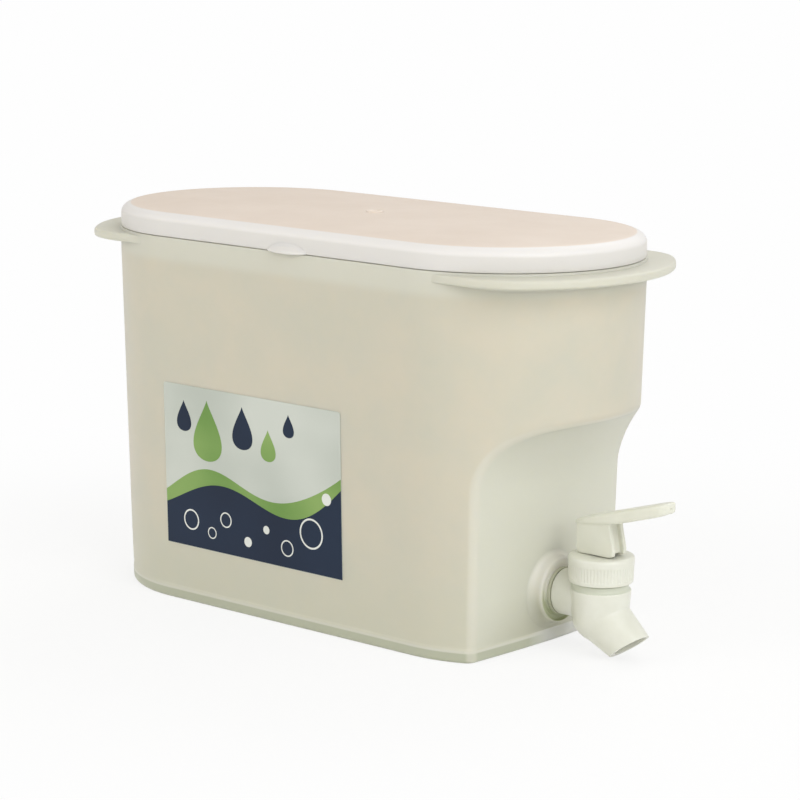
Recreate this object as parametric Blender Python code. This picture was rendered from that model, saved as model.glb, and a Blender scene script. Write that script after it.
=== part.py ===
# Covered fridge jug with a lever tap: a tall stadium-shaped tank with an arched
# recess at one end, a flush lid, a printed label and a spring-closed lever valve.
# The tap points towards +X, the label faces -Y and the jug stands on z = 0.

from math import cos
from math import pi
from math import radians
from math import sin

import bmesh
import bpy
import numpy as np

MM = 0.001

# Tank body: two half circles joined by straight sides, a little wider at the top.
frame_shift_x = -8.5 * MM
straight_half_length = 70.6 * MM
rim_radius = 59.4 * MM
foot_inset = 4.1 * MM
foot_radius = rim_radius - foot_inset
shoulder_height = 159.0 * MM
wall = 2.8 * MM
floor_height = 4.0 * MM
foot_rounding = 1.8 * MM
floor_rounding = 3.0 * MM
foot_ring_width = 7.2 * MM
foot_hollow_depth = 1.0 * MM
upstand_step = 1.9 * MM
upstand_height = 3.5 * MM
upstand_chamfer = 0.4 * MM

# Arched recess that the tap sits in, set back from the middle of the tap end.
recess_face_reach = 28.0 * MM
recess_face_x = straight_half_length + recess_face_reach
recess_face_draft = 1.5
recess_bow = 1.6 * MM
recess_far_setback = 5.4 * MM
arch_radius = 27.5 * MM
arch_centre_height = 69.0 * MM
recess_edge_rounding = 4.8 * MM
recess_half_width = (rim_radius**2 - recess_face_reach**2) ** 0.5

# Mesh columns of the tap end, as shares of the angle from its middle to the
# recess edge, of the edge's own rounding, and of the angle left to the side.
face_column_shares = (0, 0.15, 0.3, 0.43, 0.55, 0.66, 0.76, 0.85, 0.92)
edge_column_shares = (-0.55, -0.38, -0.22, -0.06, 0.1, 0.27, 0.45, 0.66)
side_column_shares = (0.26, 0.46, 0.65, 0.83, 1)
face_row_shares = (0.33, 0.66, 0.88, 1)

# Crescent lifting ears at both ends, under the lid.
ear_projection = 11.5 * MM
ear_thickness = 3.6 * MM
ear_drop = 1.1 * MM
ear_rounding = 1.2 * MM
ear_full_angle = 50
ear_end_angle = 72

# Tap boss on the recess face, with a flat pad behind it for the gasket.
inlet_height = 23.2 * MM
boss_radius = 14.0 * MM
boss_projection = 5.6 * MM
boss_front_x = recess_face_x + boss_projection
boss_flare = 4.2 * MM
boss_edge = 1.0 * MM
pad_step = 1.5 * MM
pad_radius = boss_radius - pad_step
pad_projection = 5.0 * MM
pad_back_x = recess_face_x - pad_projection

# Lid, with its sizes taken from the rim that it covers and the shoulder it rests on.
lid_inset = 0.4 * MM
lid_skirt_radius = rim_radius - lid_inset
lid_skirt_wall = 1.2 * MM
lid_skirt_height = 4.3 * MM
lid_shoulder_start = shoulder_height + lid_skirt_height
lid_shoulder_width = 4.5 * MM
lid_plateau_radius = lid_skirt_radius - lid_shoulder_width
lid_rise = 10.1 * MM
lid_plateau_height = shoulder_height + lid_rise
lid_crown = 2.0 * MM
lid_crown_shares = (0.22, 0.5, 0.78)
lid_plate = 2.0 * MM
plug_clearance = 0.4 * MM
plug_radius = rim_radius - wall - plug_clearance
plug_taper = 0.3 * MM
plug_wall = 1.7 * MM
plug_depth = 9.0 * MM
plug_foot = shoulder_height - plug_depth
tab_half_width = 11.2 * MM
tab_reach = 3.0 * MM
tab_drop = 0.9 * MM
tab_height = 4.4 * MM
tab_rounding = 1.1 * MM

# Label, set in from the start of the flat side.
label_margin = 0.6 * MM
label_length = 103.4 * MM
label_left_x = -straight_half_length + label_margin
label_right_x = label_left_x + label_length
label_bottom = 25.3 * MM
label_height = 70.9 * MM
label_top = label_bottom + label_height
label_thickness = 0.2 * MM
label_gap = 0.05 * MM
label_corner = 1.2 * MM

# Tap body: tail, flange, neck, upright barrel and slanted spout. Its heights
# are counted from the inlet, up the barrel to the collar that holds the cap.
neck_length = 20.2 * MM
barrel_x = boss_front_x + neck_length
tail_radius = 6.3 * MM
tail_length = 10.6 * MM
tail_end_x = pad_back_x - tail_length
tail_bore_radius = 3.6 * MM
neck_radius = 10.2 * MM
neck_end_radius = 9.6 * MM
neck_edge = 0.6 * MM
barrel_radius = 12.5 * MM
barrel_wall = 4.0 * MM
barrel_taper = 0.9 * MM
barrel_foot_radius = barrel_radius - barrel_taper
chamber_radius = barrel_radius - barrel_wall
barrel_rise = 5.6 * MM
bead_bottom = inlet_height + barrel_rise
bead_width = 1.4 * MM
bead_top = bead_bottom + bead_width
bead_projection = 0.5 * MM
bead_radius = barrel_radius + bead_projection
elbow_drop = 6.6 * MM
elbow_height = inlet_height - elbow_drop
spout_reach = 15.3 * MM
spout_drop = 10.7 * MM
mouth_x = barrel_x + spout_reach
mouth_height = elbow_height - spout_drop
mouth_radius = 8.7 * MM
mouth_tilt = 36
spout_wall = 1.5 * MM
throat_radius = 4.6 * MM
seat_drop = 4.2 * MM
seat_height = inlet_height - seat_drop

# Gaskets and nut that hold the tap in the tank wall.
gasket_thickness = 1.4 * MM
gasket_radius = 10.4 * MM
nut_across_flats = 20.0 * MM
nut_length = 6.4 * MM
nut_chamfer = 0.8 * MM

# Cap over the collar, with a plain band above its ribs.
cap_radius = 13.6 * MM
cap_taper = 0.4 * MM
cap_gap = 0.4 * MM
cap_height = 10.9 * MM
cap_bottom = bead_top + cap_gap
cap_top = cap_bottom + cap_height
cap_plate = 1.7 * MM
cap_rounding = 1.2 * MM
cap_band = 2.8 * MM
cap_rib_start = 1.6 * MM
cap_rib_depth = 0.3 * MM
cap_ribs = 44
cap_under = cap_top - cap_plate
collar_wall = 1.5 * MM
collar_radius = chamber_radius + collar_wall
collar_clearance = 0.6 * MM
collar_top = cap_under - collar_clearance

# Stem, valve cup and spring.
stem_radius = 3.0 * MM
stem_foot_rise = 2.6 * MM
stem_bottom = seat_height + stem_foot_rise
cup_height = 10.8 * MM
spring_seat_width = 4.2 * MM
spring_seat_radius = stem_radius + spring_seat_width
spring_seat_thickness = 1.0 * MM
cup_cone_width = 1.6 * MM
cup_cone_height = 2.2 * MM
cup_waist_radius = 4.4 * MM
cup_lip_height = 2.5 * MM
cup_nose_width = 1.2 * MM
cup_nose_drop = 1.0 * MM
spring_radius = stem_radius + spring_seat_width / 2
spring_wire_radius = 0.36 * MM
spring_turns = 4.5

# Lever: a fork with cam feet under a raised paddle, turning on a pin.
pin_rise = 6.5 * MM
pin_height = cap_top + pin_rise
pin_radius = 1.1 * MM
stem_end_width = 3.4 * MM
stem_top = pin_height + stem_end_width
fork_gap = 5.2 * MM
tongue_clearance = 0.4 * MM
cheek_thickness = 2.0 * MM
cheek_half_width = fork_gap / 2 + cheek_thickness
cam_radius = 5.8 * MM
cam_sweep = 26
cheek_back = 9.5 * MM
cheek_front = 9.3 * MM
cheek_front_top = 6.9 * MM
cheek_corner = 2.4 * MM
paddle_tilt = 16.2
paddle_back = 9.9 * MM
paddle_length = 49.4 * MM
paddle_tip_undercut = 3.0 * MM
paddle_depth = 5.3 * MM
paddle_lift = 4.9 * MM
paddle_half_width = 5.9 * MM
paddle_back_half_width = 4.8 * MM
paddle_tip_corner = 3.4 * MM
paddle_edge = 0.9 * MM
paddle_wall = 1.6 * MM
trough_start = 12.0 * MM
tip_start_share = 0.8

# Clearances.
seat_gap = 0.3 * MM
rest_gap = 0.1 * MM
pin_fit = 0.05 * MM
overlap = 1.5 * MM
cut_margin = 5.0 * MM
weld_distance = 0.0005 * MM
spring_seat_height = seat_height + cup_height + rest_gap

# Colours: warm translucent white walls, cream tap, pale lid.
tank_colour = (0.62, 0.60, 0.49)
lid_colour = (0.80, 0.70, 0.62)
tap_colour = (0.78, 0.79, 0.68)
lever_colour = (0.82, 0.83, 0.73)
label_colour = (0.56, 0.62, 0.60)
silicone_colour = (0.72, 0.70, 0.62)
steel_colour = (0.60, 0.60, 0.62)


def clear_scene():
    for obj in list(bpy.data.objects):
        bpy.data.objects.remove(obj, do_unlink=True)


def plain_material(name, colour, roughness, metallic=0.0):
    material = bpy.data.materials.new(name)
    material.use_nodes = True
    shader = material.node_tree.nodes["Principled BSDF"]
    shader.inputs["Base Color"].default_value = (*colour, 1.0)
    shader.inputs["Roughness"].default_value = roughness
    shader.inputs["Metallic"].default_value = metallic
    return material


def mesh_object(name, points, faces, location, crease_degrees=32):
    mesh = bpy.data.meshes.new(name)
    mesh.from_pydata([tuple(point) for point in points], [], faces)
    shape = bmesh.new()
    shape.from_mesh(mesh)
    bmesh.ops.remove_doubles(shape, verts=shape.verts, dist=weld_distance)
    bmesh.ops.dissolve_degenerate(shape, edges=shape.edges, dist=weld_distance)
    bmesh.ops.recalc_face_normals(shape, faces=shape.faces)
    shape.to_mesh(mesh)
    shape.free()
    for polygon in mesh.polygons:
        polygon.use_smooth = True
    mesh.set_sharp_from_angle(angle=radians(crease_degrees))
    obj = bpy.data.objects.new(name, mesh)
    obj.location = location
    bpy.context.collection.objects.link(obj)
    return obj


def finish(obj, colour, roughness, metallic=0.0):
    obj.data.materials.clear()
    obj.data.materials.append(plain_material(obj.name, colour, roughness, metallic))
    return obj


def as_helper(obj):
    obj.hide_render = True
    obj.display_type = "WIRE"
    return obj


def combine(obj, other, operation, solver="EXACT"):
    modifier = obj.modifiers.new(operation.lower() + " " + other.name, "BOOLEAN")
    modifier.operation = operation
    modifier.solver = solver
    modifier.object = as_helper(other)


def loft(name, rings, location, crease_degrees=32):
    # Closed rings with the same number of points, joined in order and capped.
    count = len(rings[0])
    points = np.concatenate(rings)
    faces = [list(range(count))]
    for row in range(len(rings) - 1):
        for column in range(count):
            after = (column + 1) % count
            low = row * count
            high = low + count
            faces.append([low + column, low + after, high + after, high + column])
    faces.append(list(range(len(points) - count, len(points)))[::-1])
    return mesh_object(name, points, faces, location, crease_degrees)


def turned(name, profile, segments, location, closed=False, along="Z"):
    # Profile of (radius, distance along the axis) turned through a full circle.
    angles = np.arange(segments) * 2 * pi / segments
    rings = []
    for radius, height in profile:
        ring = np.zeros((segments, 3))
        ring[:, 0] = radius * np.cos(angles)
        ring[:, 1] = radius * np.sin(angles)
        ring[:, 2] = height
        rings.append(ring)
    points = np.concatenate(rings)
    if along == "X":
        points = points[:, [2, 0, 1]]
    rows = len(rings) if closed else len(rings) - 1
    faces = []
    for row in range(rows):
        low = row * segments
        high = ((row + 1) % len(rings)) * segments
        for column in range(segments):
            after = (column + 1) % segments
            faces.append([low + column, low + after, high + after, high + column])
    if not closed:
        faces.append(list(range(segments)))
        faces.append(list(range(len(points) - segments, len(points)))[::-1])
    return mesh_object(name, points, faces, location)


def prism(name, outline, low, high, location):
    # Outline of (x, z) points pushed along Y from low to high.
    count = len(outline)
    near = [(x, low, z) for x, z in outline]
    far = [(x, high, z) for x, z in outline]
    faces = [list(range(count)), list(range(count, 2 * count))[::-1]]
    for index in range(count):
        after = (index + 1) % count
        faces.append([index, after, count + after, count + index])
    return mesh_object(name, near + far, faces, location)


def rounded_corners(corners, radius, steps):
    # A convex outline with every corner replaced by an arc of the given radius.
    rounded = []
    for index, corner in enumerate(corners):
        corner = np.array(corner, float)
        before = np.array(corners[index - 1], float) - corner
        after = np.array(corners[(index + 1) % len(corners)], float) - corner
        before /= np.linalg.norm(before)
        after /= np.linalg.norm(after)
        half_angle = np.arccos(np.clip(before @ after, -1, 1)) / 2
        middle = before + after
        middle /= np.linalg.norm(middle)
        centre = corner + middle * radius / sin(half_angle)
        start = corner + before * radius / np.tan(half_angle) - centre
        end = corner + after * radius / np.tan(half_angle) - centre
        turn = np.arctan2(start[0] * end[1] - start[1] * end[0], start @ end)
        for step in range(steps + 1):
            angle = turn * step / steps
            x = start[0] * cos(angle) - start[1] * sin(angle)
            y = start[0] * sin(angle) + start[1] * cos(angle)
            rounded.append((centre[0] + x, centre[1] + y))
    return rounded


def wall_radius(height):
    share = height / shoulder_height
    return foot_radius + (rim_radius - foot_radius) * share


def recess_depth(x, y, height):
    # Distance into the hollow of the recess, positive in its air.
    # A leaning face that bows outwards and falls back towards its far edge,
    # under a quarter-round ceiling.
    across = y / recess_half_width
    fade = np.clip((arch_centre_height + arch_radius - height) / arch_radius, 0, 1)
    x = x - recess_bow * (1 - across**2) + recess_far_setback * fade * np.maximum(across, 0) ** 2
    drop = np.maximum(arch_centre_height - height, 0)
    face = x - (recess_face_x - drop * np.tan(radians(recess_face_draft)))
    arch_x = recess_face_x + arch_radius
    distance = np.hypot(x - arch_x, height - arch_centre_height)
    arch = np.where(x < arch_x, arch_radius - distance, arch_centre_height + arch_radius - height)
    toward_arch = np.clip((arch_x - x) / np.maximum(distance, MM), 0, 1)
    below = height <= arch_centre_height
    return np.where(below, face, arch), np.where(below, 1.0, toward_arch)


def tap_end_radius(angle, height, inset):
    # Radius of the tap end at each angle and height: the wall and the recess
    # meet in a rounded edge, so the radius is found by halving an interval.
    outer = wall_radius(height) - inset
    low = np.full_like(outer, foot_hollow_depth)
    high = outer.copy()
    rounding = np.maximum(recess_edge_rounding - inset, MM)
    for _ in range(40):
        radius = (low + high) / 2
        x = straight_half_length + radius * np.cos(angle)
        depth, facing = recess_depth(x, radius * np.sin(angle), height)
        depth = depth + inset
        edge = rounding * (1 - np.cos(angle) * facing)
        past_wall = np.maximum(edge + radius - outer, 0)
        past_face = np.maximum(edge + depth, 0)
        field = np.minimum(np.maximum(radius - outer, depth), -edge)
        field = field + np.hypot(past_wall, past_face)
        low = np.where(field < 0, radius, low)
        high = np.where(field < 0, high, radius)
    return (low + high) / 2


def recess_edge_angle(height, inset, side):
    # Angle where the recess face meets the wall, found by halving an interval.
    radius = wall_radius(height) - inset
    low = 0
    high = pi / 2
    for _ in range(30):
        angle = (low + high) / 2
        x = straight_half_length + radius * cos(angle)
        depth, _facing = recess_depth(x, side * radius * sin(angle), height)
        if depth + inset > 0:
            low = angle
        else:
            high = angle
    return low


def tap_end_angles(height, inset):
    # Columns over the tap end, closest together where the recess edge runs.
    sides = []
    for side in (-1, 1):
        edge = recess_edge_angle(min(height, arch_centre_height), inset, side)
        turn = recess_edge_rounding / rim_radius
        last = edge + edge_column_shares[-1] * turn
        columns = [share * edge for share in face_column_shares]
        columns += [edge + share * turn for share in edge_column_shares]
        columns += [last + share * (pi / 2 - last) for share in side_column_shares]
        sides.append(side * np.array(columns))
    return np.concatenate([sides[0][:0:-1], sides[1]])


def tank_ring(height, inset):
    tap_angles = tap_end_angles(height, inset)
    heights = np.full_like(tap_angles, height)
    radii = tap_end_radius(tap_angles, heights, np.full_like(tap_angles, inset))
    tap_end = np.stack(
        [straight_half_length + radii * np.cos(tap_angles), radii * np.sin(tap_angles), heights],
        axis=1,
    )
    far_angles = np.radians(np.linspace(90, 270, 25))
    radius = wall_radius(height) - inset
    far_end = np.stack(
        [
            -straight_half_length + radius * np.cos(far_angles),
            radius * np.sin(far_angles),
            np.full_like(far_angles, height),
        ],
        axis=1,
    )
    return np.concatenate([tap_end, far_end])


def quarter_round(radius, steps):
    # Pairs of (rise, inset) up a rounded lower edge.
    turns = [radians(90 * step / steps) for step in range(steps + 1)]
    return [(radius * (1 - cos(turn)), radius * (1 - sin(turn))) for turn in turns]


def recess_heights(inset):
    # Heights that follow the quarter-round ceiling and the rounded edge above it.
    radius = arch_radius + inset
    rounding = max(recess_edge_rounding - inset, MM)
    heights = [arch_centre_height + radius * sin(radians(turn)) for turn in range(8, 81, 9)]
    ceiling = arch_centre_height + radius
    heights += [ceiling + rounding * (1 - cos(radians(turn))) for turn in (18, 38, 58, 78)]
    heights.append(ceiling + rounding + rest_gap)
    return heights


def tank_outside():
    rings = [tank_ring(rise, inset) for rise, inset in quarter_round(foot_rounding, 4)]
    rings += [tank_ring(arch_centre_height * share, 0) for share in face_row_shares]
    rings += [tank_ring(height, 0) for height in recess_heights(0)]
    rings.append(tank_ring(shoulder_height - upstand_chamfer, 0))
    rings.append(tank_ring(shoulder_height, upstand_chamfer))
    rings.append(tank_ring(shoulder_height, upstand_step))
    top = shoulder_height + upstand_height
    lean = wall_radius(top) - rim_radius
    rings.append(tank_ring(top - upstand_chamfer, upstand_step + lean))
    rings.append(tank_ring(top, upstand_step + lean + upstand_chamfer))
    return loft("tank", rings, (frame_shift_x, 0, 0))


def tank_inside():
    rings = [
        tank_ring(floor_height + rise, wall + inset)
        for rise, inset in quarter_round(floor_rounding, 3)
    ]
    rings += [tank_ring(arch_centre_height * share, wall) for share in face_row_shares]
    rings += [tank_ring(height, wall) for height in recess_heights(wall)]
    rings.append(tank_ring(shoulder_height, wall))
    top = shoulder_height + upstand_height + cut_margin
    lean = wall_radius(top) - rim_radius
    rings.append(tank_ring(top, wall + lean))
    return loft("tank cavity", rings, (frame_shift_x, 0, 0))


def foot_hollow():
    rings = [tank_ring(0, foot_ring_width), tank_ring(foot_hollow_depth, foot_ring_width)]
    rings[0][:, 2] = -cut_margin
    return loft("foot hollow", rings, (frame_shift_x, 0, 0))


def ear(name, end):
    # A flat crescent round one end that fades into the wall on both sides.
    top = shoulder_height - ear_drop
    low = top - ear_thickness
    inner = wall_radius(top) - wall / 2
    least = wall_radius(top) - ear_drop
    most = rim_radius + ear_projection
    steps = 40
    rings = []
    for index in range(steps + 1):
        degrees = -ear_end_angle + 2 * ear_end_angle * index / steps
        share = (ear_end_angle - abs(degrees)) / (ear_end_angle - ear_full_angle)
        share = min(max(share, 0), 1)
        outer = least + (most - least) * share * share * (3 - 2 * share)
        rounding = min(ear_rounding, (outer - inner) / 3)
        section = [(inner, low)]
        for turn in (0, 45, 90):
            across = rounding * (1 - sin(radians(turn)))
            section.append((outer - across, low + rounding * (1 - cos(radians(turn)))))
        for turn in (90, 45, 0):
            across = rounding * (1 - sin(radians(turn)))
            section.append((outer - across, top - rounding * (1 - cos(radians(turn)))))
        section.append((inner, top))
        along = end * cos(radians(degrees))
        across = sin(radians(degrees))
        x = end * straight_half_length
        rings.append(np.array([(x + r * along, r * across, height) for r, height in section]))
    return loft(name, rings, (frame_shift_x, 0, 0))


def tap_boss():
    # Flared disc in front of the recess face and a flat pad behind it.
    face = recess_face_x - (arch_centre_height - inlet_height) * np.tan(radians(recess_face_draft))
    flare_start = face + recess_bow - seat_gap
    profile = [
        (pad_radius - boss_edge, pad_back_x),
        (pad_radius, pad_back_x + boss_edge),
        (pad_radius, face - wall / 2),
        (boss_radius + boss_flare, face - wall / 2),
        (boss_radius + boss_flare, flare_start),
    ]
    for turn in (20, 45, 70):
        flare = boss_flare * (1 - sin(radians(turn)))
        profile.append((boss_radius + flare, flare_start + boss_flare * (1 - cos(radians(turn)))))
    for turn in (0, 45, 90):
        inset = boss_edge * (1 - cos(radians(turn)))
        profile.append((boss_radius - inset, boss_front_x - boss_edge * (1 - sin(radians(turn)))))
    return turned("boss", profile, 40, (frame_shift_x, 0, inlet_height), along="X")


def make_tank():
    tank = tank_outside()
    combine(tank, ear("tap end ear", 1), "UNION")
    combine(tank, ear("far end ear", -1), "UNION")
    combine(tank, tank_inside(), "DIFFERENCE")
    combine(tank, tap_boss(), "UNION")
    combine(tank, foot_hollow(), "DIFFERENCE")
    hole_radius = tail_radius + seat_gap
    profile = [(hole_radius, pad_back_x - cut_margin), (hole_radius, boss_front_x + cut_margin)]
    hole = turned("tap hole", profile, 32, (frame_shift_x, 0, inlet_height), along="X")
    combine(tank, hole, "DIFFERENCE")
    finish(tank, tank_colour, 0.35)


def make_label():
    # A thin sheet with rounded corners, lying on the leaning flat side.
    corners = [
        (label_left_x, label_bottom),
        (label_right_x, label_bottom),
        (label_right_x, label_top),
        (label_left_x, label_top),
    ]
    outline = rounded_corners(corners, label_corner, 5)
    count = len(outline)
    points = []
    for depth in (label_gap, label_gap + label_thickness):
        points += [(x, -wall_radius(z) - depth, z) for x, z in outline]
    faces = [list(range(count)), list(range(count, 2 * count))[::-1]]
    for index in range(count):
        after = (index + 1) % count
        faces.append([index, after, count + after, count + index])
    label = mesh_object("label", points, faces, (frame_shift_x, 0, 0))
    finish(label, label_colour, 0.4)


def stadium_ring(radius, height):
    steps = 29
    angles = np.radians(np.concatenate([np.linspace(-90, 90, steps), np.linspace(90, 270, steps)]))
    ring = np.zeros((2 * steps, 3))
    ring[:, 0] = np.repeat([straight_half_length, -straight_half_length], steps)
    ring[:, 0] += radius * np.cos(angles)
    ring[:, 1] = radius * np.sin(angles)
    ring[:, 2] = height
    return ring


def crown_rise(radius):
    return lid_crown * (1 - (radius / lid_plateau_radius) ** 2)


def make_lid():
    # One section from the crown over the skirt, the groove and the plug ring.
    skirt_foot = shoulder_height + seat_gap
    skirt_inside = lid_skirt_radius - lid_skirt_wall
    groove_top = shoulder_height + upstand_height + rest_gap
    under_top = lid_plateau_height - lid_plate
    plug_inside = plug_radius - plug_wall
    crown_radii = [lid_plateau_radius * share for share in lid_crown_shares]
    crown_radii.append(lid_plateau_radius - lid_plate)
    section = [(radius, lid_plateau_height + crown_rise(radius)) for radius in crown_radii]
    section += [
        (lid_plateau_radius, lid_plateau_height),
        (lid_plateau_radius + lid_plate, lid_plateau_height - lid_plate / 2),
        (lid_skirt_radius - lid_plate / 4, lid_shoulder_start + lid_plate / 2),
        (lid_skirt_radius, lid_shoulder_start),
        (lid_skirt_radius, skirt_foot),
        (skirt_inside, skirt_foot),
        (skirt_inside, groove_top),
        (plug_radius, groove_top),
        (plug_radius - plug_taper, plug_foot + plug_wall / 2),
        (plug_radius - plug_taper - plug_wall / 2, plug_foot),
        (plug_inside, plug_foot + plug_wall / 2),
        (plug_inside, under_top - lid_plate),
        (plug_inside - lid_plate, under_top),
    ]
    section += [(radius, under_top + crown_rise(radius)) for radius in crown_radii[1::-1]]
    rings = [stadium_ring(radius, height) for radius, height in section]
    lid = loft("lid", rings, (frame_shift_x, 0, 0))
    low = skirt_foot - tab_drop
    high = low + tab_height
    reach = tab_half_width
    corners = [(-reach, low), (reach, low), (reach, high), (-reach, high)]
    outline = rounded_corners(corners, tab_rounding, 4)
    outside = -lid_skirt_radius - tab_reach
    inside = -rim_radius - rest_gap
    tab = prism("finger tab", outline, outside, inside, (frame_shift_x, 0, 0))
    reach = tab_half_width - tab_rounding
    low = skirt_foot + seat_gap
    high -= tab_rounding
    corners = [(-reach, low), (reach, low), (reach, high), (-reach, high)]
    outside = -lid_skirt_radius - tab_reach / 2
    inside = -lid_skirt_radius + lid_skirt_wall / 2
    bridge = prism("tab bridge", corners, outside, inside, (frame_shift_x, 0, 0))
    combine(lid, tab, "UNION")
    combine(lid, bridge, "UNION")
    finish(lid, lid_colour, 0.45)


def slanted(name, start, end, radii, segments):
    # A cone between two points (x, z) of the middle plane.
    start = np.array([start[0], 0, start[1]])
    end = np.array([end[0], 0, end[1]])
    along = (end - start) / np.linalg.norm(end - start)
    across = np.array([along[2], 0, -along[0]])
    side = np.array([0, 1.0, 0])
    angles = np.arange(segments) * 2 * pi / segments
    rings = []
    for point, radius in ((start, radii[0]), (end, radii[1])):
        ring = point + radius * (np.outer(np.cos(angles), across) + np.outer(np.sin(angles), side))
        rings.append(ring)
    return loft(name, rings, (frame_shift_x, 0, 0))


def spout_cone(name, start_radius, end_radius):
    # A cone along the spout, from the elbow past the mouth, with its end
    # radius reached where the spout's axis crosses the mouth.
    start = np.array((barrel_x, elbow_height))
    end = np.array((mouth_x, mouth_height))
    length = np.linalg.norm(end - start)
    past = end + (end - start) * cut_margin / length
    past_radius = end_radius + (end_radius - start_radius) * cut_margin / length
    return slanted(name, start, past, (start_radius, past_radius), 40)


def make_tap_body():
    # A turned barrel with a round foot, a slanted spout and a turned neck.
    on_barrel = (barrel_x + frame_shift_x, 0, 0)
    profile = []
    for turn in (87, 72, 56, 40, 24, 10, 0):
        drop = barrel_foot_radius * sin(radians(turn))
        profile.append((barrel_foot_radius * cos(radians(turn)), elbow_height - drop))
    profile += [
        (barrel_radius, bead_bottom - seat_gap),
        (bead_radius - seat_gap, bead_bottom),
        (bead_radius, (bead_bottom + bead_top) / 2),
        (bead_radius - seat_gap, bead_top),
        (collar_radius, bead_top),
        (collar_radius, collar_top - seat_gap),
        (collar_radius - seat_gap, collar_top),
    ]
    barrel = turned("tap_body", profile, 44, on_barrel)
    combine(barrel, spout_cone("spout", barrel_foot_radius - seat_gap, mouth_radius), "UNION")
    flange_x = boss_front_x + gasket_thickness + 2 * rest_gap
    profile = [
        (tail_radius - neck_edge, tail_end_x),
        (tail_radius, tail_end_x + neck_edge),
        (tail_radius, flange_x),
        (neck_radius - neck_edge, flange_x),
        (neck_radius, flange_x + neck_edge),
        (neck_end_radius, barrel_x - barrel_radius),
        (neck_end_radius, barrel_x - chamber_radius - overlap / 2),
    ]
    neck = turned("neck", profile, 40, (frame_shift_x, 0, inlet_height), along="X")
    # The cap turns in a round relief in the top of the neck.
    relief_radius = cap_radius + seat_gap
    profile = [(relief_radius, cap_bottom - seat_gap), (relief_radius, cap_top)]
    combine(neck, turned("cap relief", profile, 44, on_barrel), "DIFFERENCE")
    combine(barrel, neck, "UNION")
    # Waterway: tail bore, valve chamber, throat and spout bore.
    bore_end_x = barrel_x - chamber_radius / 2
    profile = [(tail_bore_radius, tail_end_x - cut_margin), (tail_bore_radius, bore_end_x)]
    bore = turned("tail bore", profile, 30, (frame_shift_x, 0, inlet_height), along="X")
    combine(barrel, bore, "DIFFERENCE")
    profile = [
        (throat_radius + 2 * seat_gap, seat_height),
        (chamber_radius - overlap, seat_height),
        (chamber_radius, seat_height + overlap),
        (chamber_radius, collar_top + cut_margin),
    ]
    combine(barrel, turned("chamber", profile, 36, on_barrel), "DIFFERENCE")
    profile = [(throat_radius, elbow_height - throat_radius), (throat_radius, seat_height + overlap)]
    combine(barrel, turned("throat", profile, 32, on_barrel), "DIFFERENCE")
    bore = spout_cone("spout bore", throat_radius - 2 * seat_gap, mouth_radius - spout_wall)
    # The exact solver leaves faces inside the wall here, so these two cuts use the other one.
    combine(barrel, bore, "DIFFERENCE", "MANIFOLD")
    # The mouth is cut by a block whose top face is tilted.
    size = 4 * mouth_radius
    tilt = radians(mouth_tilt)
    outline = []
    for x, z in ((-size, -size), (size, -size), (size, 0), (-size, 0)):
        across = x * cos(tilt) - z * sin(tilt)
        outline.append((mouth_x + across, mouth_height + x * sin(tilt) + z * cos(tilt)))
    mouth_cut = prism("mouth cut", outline, -size, size, (frame_shift_x, 0, 0))
    combine(barrel, mouth_cut, "DIFFERENCE", "MANIFOLD")
    finish(barrel, tap_colour, 0.32)


def gasket(name, outer, start):
    inner = tail_radius + seat_gap
    end = start + gasket_thickness
    profile = [(inner, start), (outer, start), (outer, end), (inner, end)]
    ring = turned(name, profile, 36, (frame_shift_x, 0, inlet_height), closed=True, along="X")
    finish(ring, silicone_colour, 0.6)


def make_gaskets():
    front = boss_front_x + rest_gap
    gasket("outer_gasket", gasket_radius - neck_edge, front)
    back = pad_back_x - rest_gap - gasket_thickness
    gasket("inner_gasket", gasket_radius, back)


def make_nut():
    back = pad_back_x - 2 * rest_gap - gasket_thickness
    corner = nut_across_flats / 2 / cos(radians(30))
    rings = []
    for scale, x in (
        (corner - nut_chamfer, back - nut_length),
        (corner, back - nut_length + nut_chamfer),
        (corner, back),
    ):
        angles = radians(30) + np.arange(6) * pi / 3
        rings.append(np.stack([np.full(6, x), scale * np.cos(angles), scale * np.sin(angles)], axis=1))
    nut = loft("lock_nut", rings, (frame_shift_x, 0, inlet_height))
    radius = tail_radius + seat_gap
    profile = [(radius, back - nut_length - cut_margin), (radius, back + cut_margin)]
    combine(nut, turned("nut bore", profile, 32, (frame_shift_x, 0, inlet_height), along="X"), "DIFFERENCE")
    finish(nut, tap_colour, 0.4)


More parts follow.
